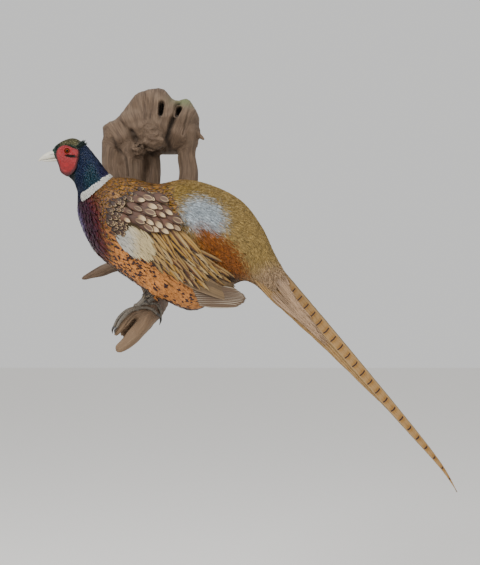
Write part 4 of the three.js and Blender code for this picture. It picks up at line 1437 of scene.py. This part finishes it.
# ---------------------------------------------------------------- legs and feet
SHANK = [5.2, 3.6, 3.8, 5]  # radii from the hock down
TOE = [3.6, 3.2, 2.9, 2.2]  # radii from the ball of the foot out


def scutes(count, depth=0.09):
    """Overlapping scales across the front of a leg or toe."""
    def swell(along, turn):
        saw = (along * count) % 1.0
        return 1 + depth * (saw**2 - 0.3) * (0.6 + 0.4 * np.cos(turn))
    return swell


def scale_look(name):
    """Brown-grey scales with light and dark patches."""
    look = Look(name, 0.5)
    look.base(0x5f574c)
    look.over(look.noise(300, detail=3).step(0.4, 0.7) * 0.5, 0x39332b)
    look.over(look.noise(120).step(0.5, 0.8) * 0.4, 0x8d8270)
    look.bump(look.noise(650, detail=2), 0.6, 0.0006)
    return look.done()


def claw(toe):
    """A claw that goes on from the end of a toe, bent down and inwards."""
    onward = unit(toe[-1] - toe[-2])
    bend = toe[-1] + onward * 6
    tip = bend + onward * 4.8 + (2.4 if onward[0] < 0 else -2.4, 0, -2)
    return tube([toe[-1] - onward * 0.6, bend, tip], [2.1, 1.6, 0.35], sides=18, steps=10)


def make_leg(side_name, side):
    """A scaled shank, the foot with its toes, four claws and the spur."""
    leg = LEGS[side_name]
    hock, foot = np.array(leg["hock"], float), np.array(leg["foot"], float)
    toes = {name: np.array(path, float) for name, path in leg["toes"].items()}
    scales = scale_look(f"leg_scales_{side_name}")
    horn = plain_look(f"claw_horn_{side_name}", 0x2b2621, 0.35)

    path = [hock, hock + (foot - hock) * 0.35, hock + (foot - hock) * 0.8, foot]
    Shell().rings(*tube(path, SHANK, sides=28, steps=26, swell=scutes(17))).build(
        f"leg_{side_name}", scales, "leg_scale", [f"shank_{side_name}"])
    ball = [foot + (0, 0, 1.5), foot + (0, 0, -1), foot + (0, 0, -3)]
    shell = Shell().rings(*tube(ball, [5.2, 6.4, 4.2], sides=24, steps=6))
    for toe in toes.values():
        shell.rings(*tube(toe, TOE, sides=20, steps=22, swell=scutes(13, 0.16)))
    shell.build(f"toes_{side_name}", scales, "leg_scale", [f"foot_{side_name}"])
    for name, toe in toes.items():
        Shell().rings(*claw(toe)).build(
            f"horn_{side_name}_{name}", horn, "claw_horn", [f"claw_{side_name}_{name}"])
    root = hock + (foot - hock) * 0.72 + (2.6, 0, -1.5)
    tip = root + (7.2, side * 2.7, -4.5)
    path = [root, (root + tip) / 2 + (0, 0, 0.6), tip]
    Shell().rings(*tube(path, [2.6, 1.8, 0.4], sides=18, steps=8)).build(
        f"spur_horn_{side_name}", horn, "claw_horn", [f"spur_{side_name}"])


# Where the flank's feathers lie over the thigh, in the side view, from a place above the hock.
THIGH = np.array([[-46, -24], [-20, 34], [30, 44], [52, 16], [40, -24], [4, -36], [-20, -36]], float)


def thigh_bulge(side_name, side):
    """How far the flank stands out where it lies over the thigh."""
    path = between(thigh_path(LEGS[side_name], side), np.linspace(0, 1.5, 18))
    radii = np.interp(np.linspace(0, 1.5, 18), [0, 1, 2], [28.5, 21.5, 6.5])

    def bulge(x, z):
        out = body_side(x, z)
        for (cx, cy, cz), radius in zip(path, radii):
            cap = np.sqrt(np.maximum(radius**2 - (x - cx) ** 2 - (z - cz) ** 2, 0))
            out = np.where(cap > 0, np.maximum(out, (BIRD_Y - cy) * side + cap), out)
        return out

    return bulge


def make_thigh_flank(side_name, side):
    """The flank's feathers where the thigh lifts them."""
    bulge = thigh_bulge(side_name, side)
    x, z = LEGS[side_name]["hock"][0] + 10.0, LEGS[side_name]["hock"][2] + 14.0
    spots = lattice(THIGH + (x, z), -0.7, gap=4.0, around=4.4, jitter=0.3)

    def stands_out(x, z):
        return bulge(x, z) > body_side(x, z) + 0.3

    px, pz = spots.T
    spots = spots[stands_out(px, pz) | stands_out(px + 5, pz - 5) & (body_side(px, pz) > 12)]
    tint = tint_at(spots[:, 0], spots[:, 1]) * rng.uniform(0.82, 1.15, (len(spots), 1))
    lay(f"thigh_flank_{side_name}", spots, side, "spot", -0.8, sway=0.2, length=15, width=5.6,
        height=-1.2, lift=1.4, tint=tint, depth=bulge, power=2.6, steps=6)


def make_thigh_coat(side_name, side):
    """The short dark feathers down over the hock."""
    surface, _ = tube(thigh_path(LEGS[side_name], side), [26, 19, 6.5], sides=56, steps=30)
    rows, sides = surface.shape[:2]
    picks = [(r, k) for r in range(rows * 13 // 20, rows - 3, 2) for k in range((r // 2) % 2, sides, 2)]
    row, column = np.array(picks).T
    n = len(picks)
    start = surface[row, column]
    ahead = surface[np.minimum(row + 12, rows - 1), column] - start
    across = unit(surface[row, (column + 1) % sides] - surface[row, column - 1])
    out = unit(start - surface[row].mean(1))
    length = np.linalg.norm(ahead, axis=1)
    way = ahead / np.maximum(length, 1e-6)[:, None] + across * rng.normal(0, 0.12, (n, 1))
    flock = Flock(4, 2)
    length = np.maximum(length * rng.uniform(0.8, 1.3, n), 4)
    along, wide, up = flock.grid(n, length, width=2.2, power=2.4, lift=1.6, arch=0.2)
    steps = [(along, way), (wide, across), (up - 1.2, out)]
    points = start[:, None, None] + sum(far[..., None] * to[:, None, None] for far, to in steps)
    flock.build(f"coat_thigh_{side_name}", points, unwrap(row, column), (0.03, 0.03), "plain",
                "body_plumage", mixed_tint(n, [0x2e261e, 0x4a4238, 0x8e8674]))


for side_name, side in SIDES.items():
    make_leg(side_name, side)
    make_thigh_flank(side_name, side)
    make_thigh_coat(side_name, side)


# ---------------------------------------------------------------- driftwood
CROWN_HEIGHT = 62.0  # how far the crown stands from the wall
WALL_CLEAR = 0.4  # the wood's back stops this far from the wall, and the hanger plate reaches it
CROWN = np.array([
    [-84, 7], [-87, 24], [-89, 50], [-77, 59], [-61, 69], [-49, 86], [-35, 104], [-17, 114], [12, 116],
    [23, 107], [35, 96], [55, 99], [67, 86], [75, 69], [75, 52], [74, 32], [69, 14], [37, 5], [-7, 5],
    [-57, 1],
], float)
# Each limb is its path, its radii along it and how rough it is.
LIMBS = {
    "left_root": ([(-64, -28, 24), (-64, -28, -22), (-50, -30, -70), (-24, -32, -116)],
                  [24, 23, 22, 26], 0.05),
    "inner_root": ([(-40, -34, 20), (-38, -36, -20), (-32, -34, -70), (-18, -32, -120)],
                   [21, 20, 20, 24], 0.06),
    "back_root": ([(-8, -14, 14), (-6, -15, -24), (-8, -20, -76), (-12, -26, -120)],
                  [15, 16, 18, 22], 0.05),
    "snag": ([(66, -34, 46), (75, -36, 35), (83, -37, 28)], [7, 4.5, 1.8], 0.03),
    "right_root": ([(58, -30, 40), (55, -30, 4), (57, -30, -40), (44, -30, -88), (10, -30, -134)],
                   [20, 16, 17, 20, 26], 0.06),
    "bough": ([(-20, -32, -90), (-8, -32, -150), (0, -34, -205), (6, -36, -244)],
              [34, 33, 27, 19], 0.05),
    "stub": ([(-31, -42, -168), (-73, -46, -186), (-96, -50, -196), (-116, -53, -205)],
             [12, 10, 8.5, 5], 0.04),
    "perch": ([(6, -34, -240), (3, -74, -250), (0, -112, -260), (-6, -146, -270), (-14.5, -170, -284.5),
               (-30, -186, -304), (-45, -196, -315)], [18.5, 17.5, 17, 16.5, 14, 12, 8], 0.05),
    "prong": ([(-6, -150, -260), (-24, -176, -262), (-38, -188, -276), (-50, -194, -293)],
              [9, 7.5, 7, 4.5], 0.05),
    "web": ([(-10, -146, -266), (-39, -181, -292)], [10.5, 6], 0.05),
}
# Knots: middle and size. Slits: middle x, z, half width, half height, lean. Hills: middle x, z, width,
# height, rise. Creases, where the wood folds in: path, half width, depth, which also sets their painted
# shade.
KNOTS = [((0, -50, 24), (21, 22, 17)), ((-4, -52, 36), (13, 18, 15)), ((-26, -50, 12), (13, 20, 13))]
SLITS = [(12, 74, 2.8, 13.5, 0.12), (41, 71, 2.8, 8, 0.3)]
HILLS = [(-10, 42, 16, 20, 7), (58, 66, 20, 34, 8), (-62, 34, 22, 26, 4), (-24, 84, 24, 20, -5)]
CREASES = [
    ([(44, 92), (38, 74), (30, 52), (24, 26), (28, -2)], 3.6, 9.0),
    ([(-71, 30), (-60, 12), (-47, -6), (-43, -36)], 2.2, 5.0),
    ([(-38, 40), (-30, 26), (-14, 8), (4, 4), (18, 10)], 4.0, 7.0),
    ([(-18, 112), (-14, 84), (-12, 60)], 1.6, 2.6),
    ([(2, 114), (-2, 88), (-6, 62)], 1.4, 2.2),
    ([(64, 92), (56, 60), (50, 34)], 1.8, 3.0),
    ([(-60, 62), (-44, 44), (-34, 34)], 1.8, 2.6),
    ([(-18, -261), (-28, -275), (-41, -295)], 3.0, 6.5),
]


def slit_across(x, z, slit):
    """How far places are across a slit and along it, in shares of its half width and half height."""
    at_x, at_z, wide, tall, lean = slit
    taper = 0.75 + 0.4 * np.clip((z - at_z) / tall, -1, 1)
    return (x - at_x - lean * (z - at_z)) / (wide * taper), (z - at_z) / tall


def crown_shell(rings=60, count=300):
    """The domed, ridged arch of the wood, and its grain, which fans out from below."""
    edge = round_edge(CROWN, count)
    middle = edge.mean(0)
    turn = np.arctan2(edge[:, 1] - middle[1], edge[:, 0] - middle[0])
    rows, grain = [], []
    for f in np.linspace(0.02, 1, rings):
        x, z = (middle + (edge - middle) * f).T
        dome = np.sqrt(np.maximum(1 - f**3.2, 0))
        fan = np.arctan2(x - 4, z + 60)
        reach = np.hypot(x - 4, z + 60)
        ridge = 2.4 * np.sin(17 * fan + 0.9 * np.sin(reach / 17)) + 3 * np.sin(9 * turn) * f
        high = CROWN_HEIGHT * (0.28 + 0.72 * dome) - 5 + ridge * (0.35 + 0.65 * dome)
        for hill_x, hill_z, wide, tall, rise in HILLS:
            high = high + rise * hump(x, z, (hill_x, hill_z), (wide, tall))
        for slit in SLITS:
            across, along = slit_across(x, z, slit)
            high = high - 40 * np.exp(-(across**4) - along**4)
        rows.append(np.stack([x, -np.maximum(high, 2), z], -1))
        grain.append(np.stack([reach, fan * 90, 0 * x], -1))
    rows.append(np.stack([edge[:, 0], np.full(count, -WALL_CLEAR), edge[:, 1]], -1))
    grain.append(grain[-1])
    return np.array(rows), np.array(grain)


def knot_shell(at, size):
    """A bumpy ball of wood; its grain is its own points."""
    polar = np.linspace(0.05, math.pi - 0.05, 40)[:, None]
    turn = circle(60)[None, :]
    bumps = 1 + 0.07 * np.sin(5 * turn + 3 * polar) + 0.06 * np.sin(9 * polar + 2 * turn)
    bumps = bumps + 0.05 * np.sin(13 * turn - 7 * polar)
    x = at[0] + size[0] * bumps * np.sin(polar) * np.cos(turn)
    y = at[1] - size[1] * bumps * np.cos(polar)
    z = at[2] + size[2] * bumps * np.sin(polar) * np.sin(turn)
    points = np.stack([x, y, z], -1)
    return points, points


def near_path(x, z, path):
    """How far places in the side view are from a path."""
    best = np.full(np.shape(x), 1e9)
    for (ax, az), (bx, bz) in zip(path[:-1], path[1:]):
        dx, dz = bx - ax, bz - az
        f = np.clip(((x - ax) * dx + (z - az) * dz) / (dx**2 + dz**2), 0, 1)
        best = np.minimum(best, np.hypot(x - ax - f * dx, z - az - f * dz))
    return best


def blended(mesh, values, rounds):
    """Each point's values averaged with its neighbours', again and again."""
    edges = np.zeros(len(mesh.edges) * 2, np.int64)
    mesh.edges.foreach_get("vertices", edges)
    one, two = edges[::2], edges[1::2]
    n = len(values)
    count = 1 + np.bincount(edges, minlength=n)[:, None]
    for _ in range(rounds):
        beside = [np.bincount(one, v[two], n) + np.bincount(two, v[one], n) for v in values.T]
        values = (values + np.stack(beside, -1)) / count
    return values


def weather(mesh, grain):
    """Cuts the creases and the open grain into the fused wood.

    Returns where its points were before, and how much painted shade each gets in the creases and slits.
    """
    spots = vertex_places(mesh)
    x, y, z = spots.T
    normals = np.zeros(len(mesh.vertices) * 3, np.float32)
    mesh.vertices.foreach_get("normal", normals)
    normals = normals.reshape(-1, 3)
    fine = np.array([noise_3d.noise(Vector(g)) for g in grain * (0.03, 0.42, 0.42)])
    broad = np.array([noise_3d.noise(Vector(g)) for g in grain * (0.012, 0.13, 0.13)])
    lumps = np.array([noise_3d.noise(Vector(p)) for p in spots * 0.045])
    depth = 0.7 * fine + 1.9 * broad + 1.6 * lumps - 0.8
    facing = np.clip(-normals[:, 1], 0, 1)
    dark = np.zeros(len(spots))
    for path, wide, deep in CREASES:
        fold = np.exp(-((near_path(x, z, path) / wide) ** 2)) * facing
        depth = depth - deep * fold
        # Painted shade in the creases.
        dark = np.maximum(dark, fold * deep / 9)
    # Painted shade down the slits.
    for slit in SLITS:
        across, along = slit_across(x, z, slit)
        dark = np.maximum(dark, np.exp(-((across / 1.1) ** 4 + along**4)))
    moved = spots + normals * depth[:, None]
    sawn = y > -1.5
    moved[sawn] = spots[sawn]
    moved[:, 1] = np.minimum(moved[:, 1], -WALL_CLEAR)
    world = (moved - (0, 0, ARCH_DROP)) / 1000
    mesh.vertices.foreach_set("co", world.astype(np.float32).ravel())
    return spots, dark


def wood_look():
    """Grey-brown wood with dark grain, some moss, pale where the perch is worn, and painted shade in the
    creases and slits.
    """
    look = Look("driftwood", 0.82)
    grain = look.attribute("grain", "Vector")
    fine = look.noise(1.0, (0.05, 0.9, 0.9), 5, source=grain)
    broad = look.noise(1.0, (0.02, 0.16, 0.16), 3, source=grain)
    look.base(0x64503e)
    look.over(broad.step(0.38, 0.62) * 0.55, 0x463425)
    look.over(fine.step(0.5, 0.66) * 0.5, 0x302116)
    look.over(fine.step(0.45, 0.34) * 0.4, 0x88705a)
    look.over(look.noise(28, detail=2).step(0.45, 0.75) * 0.4, 0x7c6a58)
    look.over(look.attribute("moss") * 0.6, 0x6c7a50)
    look.over(look.attribute("worn") * 0.4, 0x967a5c)
    # Painted shade in the creases and slits.
    look.over(look.attribute("dark") * 0.85, 0x140d08)
    look.bump(fine + broad * 0.5, 0.7, 0.0012)
    return look.done()


def make_wood():
    """The driftwood as one fused, weathered mesh, with its grain laid along each limb."""
    shell = Shell()
    shell.rings(*crown_shell())
    for knot in KNOTS:
        shell.rings(*knot_shell(*knot))
    for seed, (path, radii, rough) in enumerate(LIMBS.values()):
        points, grain = tube(path, radii, sides=48, steps=14, rough=rough, seed=seed)
        points[..., 1] = np.minimum(points[..., 1], -WALL_CLEAR)
        shell.rings(points, grain)
    nodes = [f"driftwood_{name}" for name in ("crown", "left_root", "right_root", "bough", "perch")]
    wood = shell.build("driftwood", wood_look(), "driftwood", nodes)
    sources, grains = np.concatenate(shell.points), np.concatenate(shell.maps)
    mesh = fuse(wood, voxel=0.0017, smoothing=4)
    grain = blended(mesh, grains[nearest(vertex_places(mesh), sources)], rounds=14)
    spots, dark = weather(mesh, grain)
    x, y, z = spots.T
    moss = hump(x, z, (52, 95), (20, 11))
    worn = smooth(-z, 245, 285) * smooth(-y, 120, 170)
    # dark: the painted shade of the creases and slits.
    add_values(mesh, {"moss": moss, "worn": worn, "dark": dark})
    layer = mesh.attributes.new("grain", "FLOAT_VECTOR", "POINT")
    layer.data.foreach_set("vector", grain.astype(np.float32).ravel())


def flat_rings(rings):
    """Rings that lie flat to the wall, from outlines of x and z and how far out each lies."""
    return np.array([np.insert(outline, 1, y, axis=1) for outline, y in rings])


def make_hanger():
    """The steel plate let into the wood's back, with its two screws."""
    middle = np.array([0.0, ARCH_DROP + 26])
    half = np.array([17.0, 10.0])
    corners = np.array([(-1, -1), (1, -1), (1, 1), (-1, 1)], float)
    turn = circle(24)
    head = np.stack([np.cos(turn), np.sin(turn)], -1)
    plate = [(0.6, -3.0), (0, -2.4), (0, -0.5), (0.5, 0.0)]
    shell = Shell()
    shell.rings(flat_rings([(middle + corners * (half - less), y) for less, y in plate]))
    for screw in (-11.0, 11.0):
        discs = [(3.2, -0.6), (3.2, -0.1), (2.8, 0.0)]
        shell.rings(flat_rings([(middle + (screw, 0) + head * radius, y) for radius, y in discs]))
    look = plain_look("hanger_steel", 0x9a9a9c, 0.35, 1.0)
    shell.build("hanger", look, "hanger_steel", ["hanger_plate"])


make_wood()
make_hanger()

# ---------------------------------------------------------------- stage
# In metres: the photograph's middle in x and z, how far off the camera is, the height it takes in at
# the bird's middle plane, where the lights meet, and the floor's height and half size.
PHOTO_MIDDLE = (0.144, -0.26)
CAMERA_DISTANCE = 2.4
FRAME_HEIGHT = 0.904
SENSOR = 36.0  # in millimetres
LIGHTS_MEET = (0.1, -0.15, -0.25)
FLOOR_AT = -0.86
FLOOR_HALF = 8.0
# Each light's place, size and power.
LIGHTS = {
    "key": ((-1.3, -2.2, 1.3), 1.0, 60),
    "fill": ((1.6, -2.4, 0.2), 1.6, 12),
    "top": ((0.2, -0.4, 1.8), 1.2, 16),
}

camera = bpy.data.objects.new("camera", bpy.data.cameras.new("camera"))
camera.data.sensor_fit = "VERTICAL"
camera.data.sensor_height = SENSOR
camera.data.lens = SENSOR * CAMERA_DISTANCE / FRAME_HEIGHT
camera.location = (PHOTO_MIDDLE[0], BIRD_Y / 1000 - CAMERA_DISTANCE, PHOTO_MIDDLE[1])
camera.rotation_euler = (math.pi / 2, 0, 0)
bpy.context.scene.collection.objects.link(camera)
bpy.context.scene.camera = camera

world = bpy.data.worlds.new("studio")
world.use_nodes = True
world.node_tree.nodes["Background"].inputs["Color"].default_value = (0.86, 0.86, 0.85, 1)
world.node_tree.nodes["Background"].inputs["Strength"].default_value = 0.9
bpy.context.scene.world = world

for title, (at, size, power) in LIGHTS.items():
    lamp = bpy.data.lights.new(title, "AREA")
    lamp.size = size
    lamp.energy = power
    holder = bpy.data.objects.new(title, lamp)
    holder.location = at
    aim = unit(np.array(LIGHTS_MEET) - at)
    holder.rotation_euler = (math.acos(-aim[2]), 0, math.atan2(aim[1], aim[0]) - math.pi / 2)
    bpy.context.scene.collection.objects.link(holder)

floor_mesh = bpy.data.meshes.new("floor")
corners = [(-FLOOR_HALF, -FLOOR_HALF), (FLOOR_HALF, -FLOOR_HALF), (FLOOR_HALF, FLOOR_HALF),
           (-FLOOR_HALF, FLOOR_HALF)]
floor_mesh.from_pydata([(x, y, FLOOR_AT) for x, y in corners], [], [(0, 1, 2, 3)])
floor = bpy.data.objects.new("floor", floor_mesh)
floor_mesh.materials.append(plain_look("floor", 0xf2f0ed, 0.9))
bpy.context.scene.collection.objects.link(floor)
